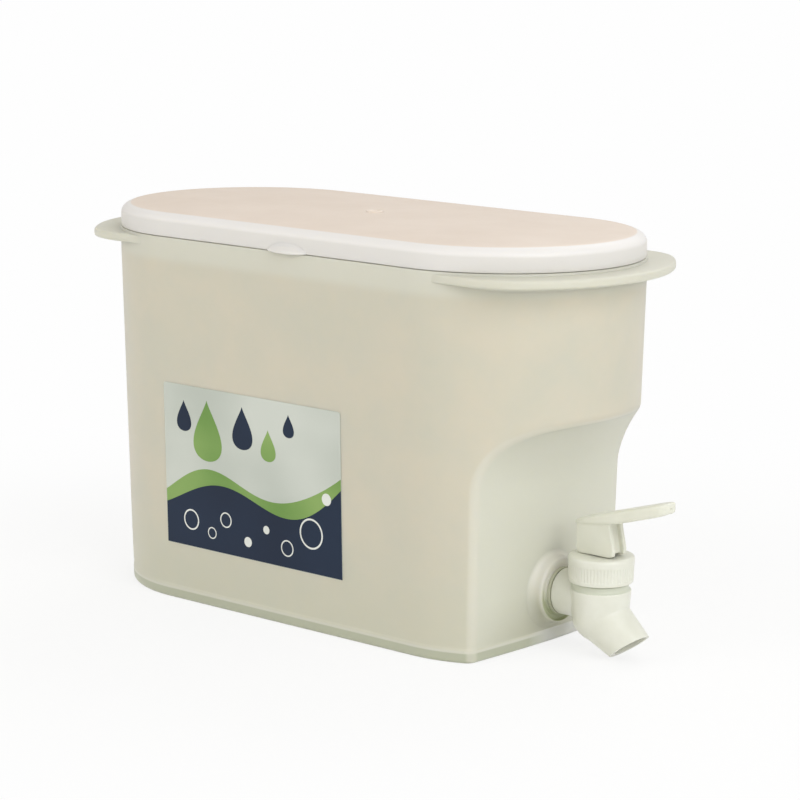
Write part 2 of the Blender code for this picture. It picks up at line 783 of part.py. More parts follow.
def make_cap():
    # Ribbed side under a plain band, socket over the barrel collar, stem hole.
    count = cap_ribs * 4
    angles = np.arange(count) * 2 * pi / count
    groove = np.where(np.arange(count) % 4 < 2, 0, cap_rib_depth)
    rib_bottom = cap_bottom + cap_rib_start
    rib_top = cap_top - cap_band
    rows = [
        (cap_bottom, 2 * cap_rib_depth, 0),
        (cap_bottom + cap_rib_depth, cap_rib_depth, 0),
        (rib_bottom, cap_rib_depth, 0),
        (rib_bottom + cap_rib_depth, 0, 1),
        (rib_top - cap_rib_depth, 0, 1),
        (rib_top, 0, 0),
    ]
    rows += [(cap_top - rise, inset, 0) for rise, inset in quarter_round(cap_rounding, 3)[::-1]]
    rings = []
    for height, inset, ribbed in rows:
        lean = cap_taper * (cap_top - height) / cap_height
        radii = cap_radius - lean - inset - ribbed * groove
        ring = [radii * np.cos(angles), radii * np.sin(angles), np.full(count, height)]
        rings.append(np.stack(ring, axis=1))
    on_barrel = (barrel_x + frame_shift_x, 0, 0)
    cap = loft("tap_cap", rings, on_barrel, crease_degrees=25)
    socket_radius = collar_radius + seat_gap
    profile = [(socket_radius, cap_bottom - cut_margin), (socket_radius, cap_under)]
    combine(cap, turned("cap socket", profile, 40, on_barrel), "DIFFERENCE")
    radius = stem_radius + seat_gap
    profile = [(radius, cap_under - cut_margin), (radius, cap_top + cut_margin)]
    combine(cap, turned("stem hole", profile, 32, on_barrel), "DIFFERENCE")
    finish(cap, tap_colour, 0.34)


def make_stem():
    # A round rod with a spring collar and a flat tongue with the pin hole.
    on_barrel = (barrel_x + frame_shift_x, 0, 0)
    profile = [
        (stem_radius - 2 * seat_gap, stem_bottom),
        (stem_radius, stem_bottom + 2 * seat_gap),
        (stem_radius, spring_seat_height),
        (spring_seat_radius, spring_seat_height),
        (spring_seat_radius, spring_seat_height + spring_seat_thickness),
        (stem_radius, spring_seat_height + spring_seat_thickness),
        (stem_radius, stem_top - overlap),
        (stem_radius - overlap / 2, stem_top),
    ]
    stem = turned("valve_stem", profile, 28, on_barrel)
    reach = stem_radius + cut_margin
    low = cap_under - overlap
    high = stem_top + cut_margin
    corners = [(-reach, low), (reach, low), (reach, high), (-reach, high)]
    tongue = fork_gap / 2 - tongue_clearance
    for name, near, far in (("near tongue flat", -reach, -tongue), ("far tongue flat", tongue, reach)):
        combine(stem, prism(name, corners, near, far, on_barrel), "DIFFERENCE")
    profile = [(pin_radius + pin_fit, -reach), (pin_radius + pin_fit, reach)]
    hole = turned("stem pin hole", profile, 24, (barrel_x + frame_shift_x, 0, pin_height))
    hole.rotation_euler = (radians(90), 0, 0)
    combine(stem, hole, "DIFFERENCE")
    finish(stem, tap_colour, 0.35)


def make_cup():
    # Soft cup: a cone that closes the throat, a waist and a piston lip above.
    on_barrel = (barrel_x + frame_shift_x, 0, 0)
    piston_top = seat_height + cup_height
    piston_bottom = piston_top - cup_lip_height
    nose_radius = throat_radius - rest_gap
    cone_radius = throat_radius + cup_cone_width
    cone_top = seat_height + cup_cone_height
    profile = [
        (nose_radius - cup_nose_width, seat_height - cup_nose_drop),
        (nose_radius, seat_height - rest_gap),
        (nose_radius, seat_height + rest_gap),
        (cone_radius, seat_height + rest_gap),
        (cone_radius, cone_top),
        (cup_waist_radius, cone_top + overlap),
        (cup_waist_radius, piston_bottom - overlap / 2),
        (chamber_radius - 2 * seat_gap, piston_bottom),
        (chamber_radius - seat_gap, piston_bottom + overlap / 2),
        (chamber_radius - seat_gap, piston_top - overlap / 2),
        (chamber_radius - 2 * seat_gap, piston_top),
    ]
    cup = turned("seat_cup", profile, 36, on_barrel)
    bore = stem_radius + rest_gap
    profile = [(bore, stem_bottom - rest_gap), (bore, piston_top + cut_margin)]
    combine(cup, turned("cup socket", profile, 28, on_barrel), "DIFFERENCE")
    finish(cup, silicone_colour, 0.6)


def make_spring():
    # A coil between the stem collar and the underside of the cap.
    low = spring_seat_height + spring_seat_thickness + spring_wire_radius + rest_gap
    high = cap_under - spring_wire_radius - rest_gap
    per_turn = 16
    count = int(spring_turns * per_turn)
    curve = bpy.data.curves.new("return_spring", "CURVE")
    curve.dimensions = "3D"
    curve.bevel_depth = spring_wire_radius
    curve.bevel_resolution = 1
    curve.use_fill_caps = True
    line = curve.splines.new("POLY")
    line.points.add(count)
    for index in range(count + 1):
        angle = 2 * pi * index / per_turn
        height = low + (high - low) * index / count
        line.points[index].co = (spring_radius * cos(angle), spring_radius * sin(angle), height, 1)
    spring = bpy.data.objects.new("return_spring", curve)
    spring.location = (barrel_x + frame_shift_x, 0, 0)
    bpy.context.collection.objects.link(spring)
    finish(spring, steel_colour, 0.3, 1.0)


def cam_outline():
    # Side view of the fork, measured from the pin. The foot is an involute of
    # the cam circle, so its height grows evenly as the lever turns.
    foot = pin_height - cap_top - seat_gap
    outline = []
    steps = 8
    for step in range(steps + 1):
        turn = radians(cam_sweep) * step / steps
        reach = foot + cam_radius * turn
        x = reach * sin(turn) + cam_radius * cos(turn)
        z = -reach * cos(turn) + cam_radius * sin(turn)
        outline.append((x, z))
    top = paddle_lift + paddle_depth / 2
    outline.append((cheek_front, outline[-1][1] + cheek_corner))
    outline.append((cheek_front_top, top))
    outline.append((-cheek_back, paddle_lift - paddle_depth / 2))
    outline.append((-cheek_back + cheek_corner / 2, -foot + cheek_corner))
    outline.append((-cheek_back + cheek_corner, -foot))
    return outline


def paddle(name, back, length, half_width, back_half_width, low, high, tip_corner, tip_undercut):
    # A plan shape pushed up, then tilted about the pin.
    corners = [
        (back, -back_half_width),
        (back + 2 * back_half_width, -half_width),
        (back + length, -half_width),
        (back + length, half_width),
        (back + 2 * back_half_width, half_width),
        (back, back_half_width),
    ]
    outline = rounded_corners(corners, tip_corner, 5)
    tilt = radians(paddle_tilt)
    rings = []
    for height, shorter in ((low, tip_undercut), (high, 0)):
        ring = []
        for u, y in outline:
            share = max((u - back) / length - tip_start_share, 0) / (1 - tip_start_share)
            reach = u - shorter * share
            ring.append((reach * cos(tilt) - height * sin(tilt), y, reach * sin(tilt) + height * cos(tilt)))
        rings.append(np.array(ring))
    return loft(name, rings, (barrel_x + frame_shift_x, 0, pin_height))


def make_lever():
    place = (barrel_x + frame_shift_x, 0, pin_height)
    lever = paddle(
        "lever",
        -paddle_back,
        paddle_length,
        paddle_half_width,
        paddle_back_half_width,
        paddle_lift,
        paddle_lift + paddle_depth,
        paddle_tip_corner,
        paddle_tip_undercut,
    )
    rounding = lever.modifiers.new("edge rounding", "BEVEL")
    rounding.width = paddle_edge
    rounding.segments = 3
    rounding.limit_method = "ANGLE"
    rounding.angle_limit = radians(40)
    fork = prism("fork", cam_outline(), -cheek_half_width, cheek_half_width, place)
    combine(lever, fork, "UNION")
    reach = paddle_length
    slot_top = paddle_lift * cos(radians(paddle_tilt))
    tilt = np.tan(radians(paddle_tilt))
    high = slot_top + reach * tilt
    low = slot_top - reach * tilt
    corners = [(-reach, -reach), (reach, -reach), (reach, high), (-reach, low)]
    slot = prism("fork gap", corners, -fork_gap / 2, fork_gap / 2, place)
    combine(lever, slot, "DIFFERENCE")
    trough = paddle(
        "paddle trough",
        trough_start,
        paddle_length - paddle_back - trough_start - paddle_wall - paddle_tip_undercut / 2,
        paddle_half_width - paddle_wall,
        paddle_half_width - paddle_wall - seat_gap,
        paddle_lift - cut_margin,
        paddle_lift + paddle_depth - paddle_wall,
        paddle_tip_corner / 2,
        paddle_tip_undercut,
    )
    combine(lever, trough, "DIFFERENCE")
    reach = cheek_half_width + cut_margin
    profile = [(pin_radius + pin_fit, -reach), (pin_radius + pin_fit, reach)]
    hole = turned("lever pin hole", profile, 24, place)
    hole.rotation_euler = (radians(90), 0, 0)
    combine(lever, hole, "DIFFERENCE")
    finish(lever, lever_colour, 0.34)


def make_pin():
    half = cheek_half_width - rest_gap
    edge = 2 * rest_gap
    profile = [
        (pin_radius - edge, -half),
        (pin_radius, -half + edge),
        (pin_radius, half - edge),
        (pin_radius - edge, half),
    ]
    pin = turned("lever_pin", profile, 24, (barrel_x + frame_shift_x, 0, pin_height))
    pin.rotation_euler = (radians(90), 0, 0)
    finish(pin, steel_colour, 0.3, 1.0)


clear_scene()
make_tank()
make_label()
make_lid()
make_tap_body()
make_gaskets()
make_nut()
make_cap()
make_stem()
make_cup()
make_spring()
make_lever()
make_pin()
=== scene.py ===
from math import cos, pi, radians, sin

import bmesh
import bpy
import numpy as np
from mathutils import Matrix, Vector


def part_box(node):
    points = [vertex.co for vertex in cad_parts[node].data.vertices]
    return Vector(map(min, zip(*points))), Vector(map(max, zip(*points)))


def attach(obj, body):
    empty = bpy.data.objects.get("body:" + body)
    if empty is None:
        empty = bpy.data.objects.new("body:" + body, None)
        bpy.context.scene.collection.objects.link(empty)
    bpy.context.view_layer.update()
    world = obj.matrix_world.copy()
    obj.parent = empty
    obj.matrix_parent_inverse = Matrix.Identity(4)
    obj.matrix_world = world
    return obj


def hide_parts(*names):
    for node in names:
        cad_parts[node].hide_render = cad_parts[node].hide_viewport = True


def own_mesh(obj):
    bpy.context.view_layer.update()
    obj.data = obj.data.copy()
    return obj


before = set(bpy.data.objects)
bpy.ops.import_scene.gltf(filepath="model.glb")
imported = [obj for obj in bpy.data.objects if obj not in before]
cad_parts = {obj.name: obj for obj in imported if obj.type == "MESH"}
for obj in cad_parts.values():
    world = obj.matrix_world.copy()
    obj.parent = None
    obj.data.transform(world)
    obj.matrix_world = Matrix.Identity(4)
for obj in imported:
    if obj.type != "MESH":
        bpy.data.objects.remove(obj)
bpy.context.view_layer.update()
mm = 0.001


# TANK
# A stadium-shaped jug body with an arched recess for the tap, injection moulded in
# one shot from natural polypropylene. It stands on a foot ring and carries the rest.

shift_x = -8.5 * mm
half_length = 70.6 * mm
foot_radius = 55.3 * mm
rim_radius = 59.4 * mm
shoulder_z = 159.0 * mm
tank_wall = 2.8 * mm
recess_x = 98.6 * mm
recess_half_width = 52.39 * mm
recess_bow = 1.6 * mm
far_edge_drop = 5.4 * mm
recess_lean = np.tan(radians(1.5))
arch_radius = 27.5 * mm
arch_z = 69.0 * mm
edge_rounding = 4.8 * mm


def surface(name, grid, crease=35, closed_rows=False, flat_ends=False):
    """Mesh through a grid of points. Each row is a closed ring, and rows follow one
    another. A row whose points fall together is a pole, and the doubles are merged."""
    rows, columns = grid.shape[:2]
    here = np.arange(rows * columns).reshape(rows, columns)
    after = np.roll(here, -1, axis=1)
    if closed_rows:
        above, above_after = np.roll(here, -1, axis=0), np.roll(after, -1, axis=0)
    else:
        above, above_after = here[1:], after[1:]
        here, after = here[:-1], after[:-1]
    faces = np.stack([here, after, above_after, above], axis=-1).reshape(-1, 4).tolist()
    if flat_ends:
        faces.append(list(range(columns)))
        faces.append(list(range(rows * columns - columns, rows * columns)))
    mesh = bpy.data.meshes.new(name)
    mesh.from_pydata(grid.reshape(-1, 3).tolist(), [], faces)
    shape = bmesh.new()
    shape.from_mesh(mesh)
    bmesh.ops.remove_doubles(shape, verts=shape.verts, dist=0.002 * mm)
    bmesh.ops.dissolve_degenerate(shape, edges=shape.edges, dist=0.001 * mm)
    bmesh.ops.recalc_face_normals(shape, faces=shape.faces)
    shape.to_mesh(mesh)
    shape.free()
    mesh.shade_smooth()
    mesh.set_sharp_from_angle(angle=radians(crease))
    piece = bpy.data.objects.new(name, mesh)
    bpy.context.scene.collection.objects.link(piece)
    return piece


def wall_radius(z):
    """Radius of the tank's round ends: it grows evenly from the foot to the shoulder."""
    return foot_radius + (rim_radius - foot_radius) * z / shoulder_z


def recess_face(y, z):
    """Place of the recess face: a plane that leans by 1.5 degrees and bows outwards as a
    parabola. Its far half falls back with the square of the way to its edge, in full
    below the arch line and less and less up the arch."""
    across = y / recess_half_width
    fade = np.clip((arch_z + arch_radius - z) / arch_radius, 0, 1)
    bow = recess_bow * (1 - across**2) - far_edge_drop * fade * np.maximum(across, 0) ** 2
    return recess_x - np.maximum(arch_z - z, 0) * recess_lean + bow


def recess_depth(x, y, z):
    """Distance into the air of the recess, and how squarely its surface faces +X:
    the leaning face below, and a quarter-round ceiling above the arch line."""
    x = x - (recess_face(y, np.maximum(z, arch_z)) - recess_x)
    face = x - recess_x + np.maximum(arch_z - z, 0) * recess_lean
    arch_x = recess_x + arch_radius
    away = np.hypot(x - arch_x, z - arch_z)
    arch = np.where(x < arch_x, arch_radius - away, arch_z + arch_radius - z)
    toward = np.clip((arch_x - x) / np.maximum(away, mm), 0, 1)
    return np.where(z <= arch_z, face, arch), np.where(z <= arch_z, 1.0, toward)


def tap_end_radius(angle, z, inset):
    """Radius of the tap end at each angle and height, by halving an interval: the wall
    and the recess are joined by a rounded edge, as a rolling ball would leave it."""
    outer = wall_radius(z) - inset
    low, high = np.full_like(outer, mm), outer.copy()
    rounding = np.maximum(edge_rounding - inset, mm)
    for _ in range(36):
        radius = (low + high) / 2
        depth, facing = recess_depth(half_length + radius * np.cos(angle), radius * np.sin(angle), z)
        edge = rounding * (1 - np.cos(angle) * facing)
        field = np.minimum(np.maximum(radius - outer, depth + inset), -edge)
        field += np.hypot(np.maximum(edge + radius - outer, 0), np.maximum(edge + depth + inset, 0))
        low, high = np.where(field < 0, radius, low), np.where(field < 0, high, radius)
    return (low + high) / 2


def edge_angle(z, inset, side):
    """Angle at which the recess face cuts the wall at each height, by halving."""
    radius = wall_radius(z) - inset
    low, high = np.zeros_like(z), np.full_like(z, pi / 2)
    for _ in range(30):
        angle = (low + high) / 2
        depth = recess_depth(half_length + radius * np.cos(angle), side * radius * np.sin(angle), z)[0]
        low, high = np.where(depth + inset > 0, angle, low), np.where(depth + inset > 0, high, angle)
    return low


def tank_rings(z, inset):
    """Rings round the tank, one for each height and inset from the outside: the tap
    end, whose columns crowd together at the recess edge, and the plain far end."""
    turn = edge_rounding / rim_radius
    before, after = 1.3, 1.2  # the crowded stretch, in such turns from the edge
    sides = []
    for side in (-1, 1):
        edge = edge_angle(np.minimum(z, arch_z), inset, side)[:, None]
        face = (edge - before * turn) * np.linspace(0, 1, 26)
        rolled = edge + turn * np.linspace(-before, after, 30)[1:]
        start = edge + after * turn
        plain = start + (pi / 2 - start) * np.linspace(0, 1, 12)[1:]
        sides.append(side * np.concatenate([face, rolled, plain], axis=1))
    angle = np.concatenate([sides[0][:, :0:-1], sides[1]], axis=1)
    z, inset = z[:, None], inset[:, None]
    radius = tap_end_radius(angle, z + 0 * angle, inset + 0 * angle)
    tap_end = [half_length + radius * np.cos(angle), radius * np.sin(angle), z + 0 * angle]
    angle = np.linspace(pi / 2, 3 * pi / 2, 73) + 0 * z
    radius = wall_radius(z) - inset
    far_end = [radius * np.cos(angle) - half_length, radius * np.sin(angle), z + 0 * angle]
    return np.concatenate([np.stack(tap_end, -1), np.stack(far_end, -1)], axis=1) + (shift_x, 0, 0)


def pole(ring):
    """A row of one repeated point, in the middle of a level ring, that closes its end."""
    row = np.zeros_like(ring)
    row[:, 2] = ring[0, 2]
    return row


# The tank's section, as heights and insets from the outside: first the outside, from
# the hollow under the foot to the rim, then the inside, from the rim to the floor.
foot_rounding = 1.8 * mm
floor_z = 4.0 * mm
floor_rounding = 3.0 * mm
quarter = np.linspace(0, pi / 2, 7)
arch_rows = arch_z + arch_radius * np.sin(np.radians(np.linspace(4, 84, 34)))
roll_rows = arch_z + arch_radius + edge_rounding * (1 - np.cos(np.radians(np.linspace(8, 86, 14))))
outside = [
    (np.array([1.0, 0.9, 0.2, 0.0]) * mm, np.array([7.2, 7.1, 6.8, 6.5]) * mm),
    (foot_rounding * (1 - np.cos(quarter)), foot_rounding * (1 - np.sin(quarter))),
    (np.array([5.4, 5.75, 6.1, 6.6, 7.4]) * mm, np.array([0, 0.03, 0.16, 0.22, 0.22]) * mm),
    (np.array([9.0, 24.0, 46.0, 58.0, 66.0, 69.0]) * mm, np.array([0.12, 0, 0, 0, 0, 0]) * mm),
    (arch_rows, 0 * arch_rows),
    (roll_rows, 0 * roll_rows),
    (np.array([102.2, 112, 130, 148, 158.6]) * mm, np.zeros(5)),
    (np.array([158.9, 159, 159, 159.4]) * mm, np.array([0.12, 0.4, 1.8, 1.95]) * mm),
    (np.array([162.1, 162.5]) * mm, np.array([2.0, 2.3]) * mm),
]
inside = [
    (np.array([162.5, 162.1, 159.0, 130.0, 106.0]) * mm, np.array([2.5, 2.8, 2.8, 2.8, 2.8]) * mm),
    (roll_rows[::-1] + tank_wall * 0.6, tank_wall + 0 * roll_rows),
    (arch_rows[::-1] + tank_wall * 0.4, tank_wall + 0 * arch_rows),
    (np.array([66.0, 46.0, 24.0, 9.0]) * mm, np.full(4, tank_wall)),
    (
        floor_z + floor_rounding * (1 - np.cos(quarter[::-1])),
        tank_wall + floor_rounding * (1 - np.sin(quarter[::-1])),
    ),
]
rings = tank_rings(*[np.concatenate([part[k] for part in outside + inside]) for k in (0, 1)])
tank_shell = surface("tank_shell", np.concatenate([[pole(rings[0])], rings, [pole(rings[-1])]]))

ear_reach = 11.7 * mm
ear_top = 157.9 * mm
ear_bottom = ear_top - 3.6 * mm
ear_wall = 59.2 * mm
ear_root = 57.9 * mm
ear_corner = 1.2 * mm
ear_fillet = 2.6 * mm
# In degrees: how far an ear goes to each side, and over which part of that it grows.
ear_span = 80
ear_growth = 34


def ear(name, end):
    """A flat crescent under the rim of one end, over 80 degrees to each side. Its reach
    grows out of the wall by the smoothstep of the angle over the first 34 degrees. Its
    section is a rectangle with rounded outer corners on a quarter-round fillet."""
    degrees = np.linspace(-ear_span, ear_span, 107)[:, None]
    share = np.clip((ear_span - abs(degrees)) / ear_growth, 0, 1)
    share = share**2 * (3 - 2 * share)
    outer = ear_wall + ear_reach * share
    round_by = np.minimum(ear_corner, (outer - ear_root) / 3)
    turn = np.linspace(0, pi / 2, 6)
    growing, shrinking = 1 - np.cos(turn), 1 - np.sin(turn)
    lower_r, lower_z = outer - round_by * shrinking, ear_bottom + round_by * growing
    upper_r, upper_z = outer - round_by * shrinking[::-1], ear_top - round_by * growing[::-1]
    inner = np.full_like(outer, ear_root)
    fillet = ear_fillet * share
    fillet_r = np.concatenate([inner, ear_wall + fillet * growing], axis=1)
    fillet_r = np.minimum(fillet_r, outer - round_by)
    fillet_z = ear_bottom - np.concatenate([fillet, fillet * shrinking], axis=1)
    r = np.concatenate([fillet_r, lower_r, upper_r, inner], axis=1)
    z = np.concatenate([fillet_z, lower_z, upper_z, ear_top + 0 * inner], axis=1)
    a = np.radians(degrees)
    grid = np.stack([end * (half_length + r * np.cos(a)) + shift_x, r * np.sin(a), z], -1)
    return surface(name, grid, flat_ends=True)


tank_ears = [ear("tap_end_ear", 1), ear("far_end_ear", -1)]

inlet_z = 23.2 * mm
boss_x = 104.2 * mm
boss_radius = 13.7 * mm
boss_flare = 2.9 * mm
boss_root = 17.6 * mm
groove_widening = 0.7
# The pad behind the wall, as radius and x. The front, as radius, how far it is set
# back, and its shares of the groove's depth and of its widening, all in millimetres.
pad_section = np.array([(0, 93.6), (11.5, 93.6), (12.2, 93.9), (12.5, 94.6), (12.5, 96.6)]) * mm
front_section = mm * np.array([
    (13.65, 0.9, 0, 0), (13.5, 0.45, 0, 0), (13.3, 0.12, 0, 0), (13.1, 0, 0, 0), (11.6, 0, 0, 1),
    (11.4, 0, 0.15, 1), (11.2, 0, 0.6, 1), (11.0, 0, 1.0, 0.9), (10.6, 0, 1.1, 0), (10.4, 0, 0.7, 0),
    (10.2, 0.1, 0, 0), (9.9, 0, 0, 0), (0, 0, 0, 0),
])


def tap_boss():
    """A disc turned about the tap's axis. Behind the wall it is the pad for the gasket,
    and in front it rises out of the leaning recess face in a quarter ellipse. A groove
    that grows wider and deeper towards its foot runs round the seat of the outer
    gasket: both follow one minus the sine of the angle."""
    angle = np.linspace(0, 2 * pi, 121)[:-1]
    turn = np.linspace(0, pi / 2, 14)
    pad_r = pad_section[:, :1] + 0 * angle
    root_r = np.full((1, len(angle)), boss_root)
    side_r = (boss_radius + boss_flare * (1 - np.sin(turn)))[:, None] + 0 * angle
    front_r = front_section[:, :1] + front_section[:, 3:] * groove_widening * (1 - np.sin(angle))
    r = np.concatenate([pad_r, root_r, side_r, front_r])
    y, z = r * np.cos(angle), inlet_z + r * np.sin(angle)
    face = recess_face(y, z)
    root = len(pad_section)
    side_face = face[root + 1 : root + 1 + len(turn)]
    pad_x = pad_section[:, 1:] + 0 * angle
    root_x = face[root : root + 1] - 1.2 * mm
    side_x = side_face + (boss_x - mm - side_face) * (1 - np.cos(turn))[:, None] - 0.02 * mm
    front_x = boss_x - front_section[:, 1:2] - front_section[:, 2:3] * (0.55 - 0.5 * np.sin(angle))
    x = np.concatenate([pad_x, root_x, side_x, front_x])
    return surface("tap_boss", np.stack([x + shift_x, y, z], -1))


boss = tap_boss()


def linear(code):
    """Linear colour from an sRGB hex value."""
    parts = np.array([int(code[i : i + 2], 16) for i in (1, 3, 5)]) / 255
    parts = np.where(parts <= 0.04045, parts / 12.92, ((parts + 0.055) / 1.055) ** 2.4)
    return (*[float(part) for part in parts], 1.0)


def add_node(material, kind, values=None, links=None, **settings):
    """Adds a node to a material, with its settings, socket values and links."""
    node = material.node_tree.nodes.new(kind)
    for key, value in settings.items():
        setattr(node, key, value)
    for key, value in (values or {}).items():
        node.inputs[key].default_value = value
    for key, source in (links or {}).items():
        material.node_tree.links.new(source, node.inputs[key])
    return node


def moulded_plastic(name, light, dark, roughness, cloud_mm, grain_mm, sink_um, subsurface):
    """A moulded plastic: clouds of two shades in the wall, a satin grain from the mould
    that is 6 micrometres deep, and a slow sink of the wall over 34 mm."""
    grain_depth = 6e-6
    sink_mm = 34
    material = bpy.data.materials.new(name)
    material.use_nodes = True
    shader = material.node_tree.nodes["Principled BSDF"]
    place = {"Vector": add_node(material, "ShaderNodeTexCoord").outputs["Object"]}
    cloud_values = {"Scale": 1000 / cloud_mm, "Detail": 3.0, "Roughness": 0.6}
    clouds = add_node(material, "ShaderNodeTexNoise", cloud_values, place).outputs["Fac"]
    contrast = {"From Min": 0.32, "From Max": 0.68}
    spread = add_node(material, "ShaderNodeMapRange", contrast, {"Value": clouds})
    colour = add_node(
        material,
        "ShaderNodeMixRGB",
        {"Color1": linear(dark), "Color2": linear(light)},
        {"Fac": spread.outputs[0]},
    )
    grain_values = {"Scale": 1000 / grain_mm, "Detail": 2.0}
    grain = add_node(material, "ShaderNodeTexNoise", grain_values, place).outputs["Fac"]
    rough = add_node(
        material,
        "ShaderNodeMapRange",
        {"To Min": roughness - 0.05, "To Max": roughness + 0.05},
        {"Value": grain},
    )
    wave_values = {"Scale": 1000 / sink_mm, "Detail": 1.0}
    waves = add_node(material, "ShaderNodeTexNoise", wave_values, place).outputs["Fac"]
    sink = add_node(
        material, "ShaderNodeBump", {"Strength": 1.0, "Distance": sink_um * 1e-6}, {"Height": waves}
    )
    satin = add_node(
        material,
        "ShaderNodeBump",
        {"Strength": 1.0, "Distance": grain_depth},
        {"Height": grain, "Normal": sink.outputs["Normal"]},
    )
    material.node_tree.links.new(colour.outputs[0], shader.inputs["Base Color"])
    material.node_tree.links.new(rough.outputs[0], shader.inputs["Roughness"])
    material.node_tree.links.new(satin.outputs["Normal"], shader.inputs["Normal"])
    shader.inputs["IOR"].default_value = 1.49
    shader.inputs["Subsurface Weight"].default_value = subsurface
    shader.inputs["Subsurface Radius"].default_value = (1.0, 0.95, 0.8)
    shader.inputs["Subsurface Scale"].default_value = 2.5 * mm
    return material


def add_tones(material, tones):
    """Mixes further shades into a material's colour, one over another. Each grows from
    nothing to its strength between two heights, or between two values of a share that
    the mesh keeps for each point."""
    base_colour = material.node_tree.nodes["Principled BSDF"].inputs["Base Color"]
    colour = base_colour.links[0].from_socket
    for name, start, full, shade, strength in tones:
        if name == "height":
            place = add_node(material, "ShaderNodeTexCoord").outputs["Object"]
            value = add_node(material, "ShaderNodeSeparateXYZ", links={"Vector": place}).outputs["Z"]
            blend = "SMOOTHSTEP"
        else:
            value = add_node(material, "ShaderNodeAttribute", attribute_name=name).outputs["Fac"]
            blend = "LINEAR"
        share = add_node(
            material,
            "ShaderNodeMapRange",
            {"From Min": start, "From Max": full, "To Max": strength},
            {"Value": value},
            interpolation_type=blend,
        ).outputs[0]
        links = {"Color1": colour, "Fac": share}
        colour = add_node(material, "ShaderNodeMixRGB", {"Color2": linear(shade)}, links).outputs[0]
    material.node_tree.links.new(colour, base_colour)


def point_rows(piece):
    """The points of a piece as a row of x, one of y and one of z."""
    points = np.empty(len(piece.data.vertices) * 3)
    piece.data.vertices.foreach_get("co", points)
    return points.reshape(-1, 3).T


def keep_shares(piece, **shares):
    """Keeps shares, one value for each point, on a piece's mesh under their names."""
    for name, share in shares.items():
        layer = piece.data.attributes.new(name, "FLOAT", "POINT")
        layer.data.foreach_set("value", share.astype(np.float32))


def ramp(value, start, full):
    """Share that grows evenly from 0 at the start to 1 at the full value."""
    return np.clip((value - start) / (full - start), 0, 1)


def thick_foot(y, z):
    """Share of the painted shadow that the tap casts low in the recess: it falls evenly
    from a point below the boss to the edge of an ellipse of 40 by 24 mm."""
    return ramp(np.hypot((y + 14 * mm) / (40 * mm), (z - 4 * mm) / (24 * mm)), 1, 0)


# Shares on the tank for painted light and shade: the painted highlight on its bend round
# the recess, the recess itself, which is painted lighter, the painted shadow of the tap low
# in the recess, and the stretch of its foot below the tap, which is painted lighter.
x, y, z = point_rows(tank_shell)
x = x - shift_x
tap_end = x > half_length
foot_edge_z = 5.8 * mm
from_wall = wall_radius(z) - np.hypot(x - half_length, y)
from_recess = -recess_depth(x, y, z)[0]
bend = ramp(np.maximum(from_wall, 1.5 * from_recess), edge_rounding, 0) * tap_end
recess = ramp(from_recess, edge_rounding / 2.2, 0) * tap_end * (z > foot_edge_z)
# Painted light: the foot band under the tap is made whiter.
thin = ramp(y, -14 * mm, -2 * mm) * ramp(y, 36 * mm, 18 * mm) * tap_end * (z < foot_edge_z)
thin = thin * ramp(from_recess, edge_rounding, 0)
keep_shares(tank_shell, bend=bend, recess=recess, thick=thick_foot(y, z) * recess, thin=thin)

# Shares on the boss for painted light and shade: the lighter recess tone over all of it,
# the painted shadow of the tap, the painted shade in the groove where it is deep, and the
# painted highlight on the upper side.
x, y, z = point_rows(boss)
from_axis = np.hypot(y, z - inlet_z)
front = x > boss_x + shift_x - 2 * mm
groove_edge = 11.7 * mm + groove_widening * mm * (1 - (z - inlet_z) / np.maximum(from_axis, mm))
deep = front * (from_axis < groove_edge) * ramp(z, inlet_z + 7 * mm, inlet_z - 8 * mm)
# Painted highlight on the boss's upper side, where the light falls from above.
upper = ramp(z, inlet_z - 3 * mm, inlet_z + 7 * mm) * ramp(from_axis, 16.4 * mm, 14.4 * mm)
keep_shares(boss, recess=np.ones_like(x), thick=thick_foot(y, z), deep=deep, upper=upper)

# Natural polypropylene: milky, faintly green and cloudy, with a satin sheen. The wall is
# painted lighter where the lid's plug ring stands behind it and shows through. Painted
# light makes the recess lighter, and a painted highlight runs round its rolled edge. The
# wall is darker and greener further down and darkest over the solid foot, above which a
# painted highlight line runs where the floor's edge shows through. Painted shade makes
# the recess below the tap and the deep groove greener and duller, and painted light makes
# the foot under the tap and the boss's upper side whiter.
tank_plastic = moulded_plastic(
    "natural_polypropylene_satin", "#E9E2CE", "#E2DFCD", 0.42, 26, 0.5, 60, 0.4
)
tank_plastic.node_tree.nodes["Principled BSDF"].inputs["Transmission Weight"].default_value = 0.3
add_tones(tank_plastic, (
    ("height", 147.0 * mm, 151.5 * mm, "#EBEADB", 0.8),
    ("height", 56.0 * mm, 5.0 * mm, "#DEDFCB", 0.5),
    # a painted highlight line above the foot, where the floor's edge shows through
    ("height", 5.8 * mm, 5.0 * mm, "#EEEDE0", 0.7),
    ("height", 4.6 * mm, 4.0 * mm, "#C9CCB4", 0.9),
    ("recess", 0.0, 1.0, "#ECECDC", 1.0),
    ("bend", 0.3, 0.6, "#F0ECDD", 0.5),
    ("thick", 0.0, 1.0, "#CBCAB4", 1.0),
    ("thin", 0.0, 1.0, "#FFFFF6", 1.0),
    ("deep", 0.0, 1.0, "#C2C8A1", 1.0),
    ("upper", 0.0, 1.0, "#FFFAEC", 1.0),
))
for piece in (tank_shell, *tank_ears, boss):
    piece.data.materials.append(tank_plastic)
    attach(piece, "jug")
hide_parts("tank")


# LABEL
# A printed polypropylene film, stuck to the flat side. Its design is four plain inks:
# a pale ground, a navy wave under a green band, green and navy drops, and bubbles.

label_low = np.array([-69.6 * mm + shift_x, 25.3 * mm])
label_high = np.array([33.8 * mm + shift_x, 96.2 * mm])
label_corner = 1.2 * mm
label_margin = 0.15 * mm


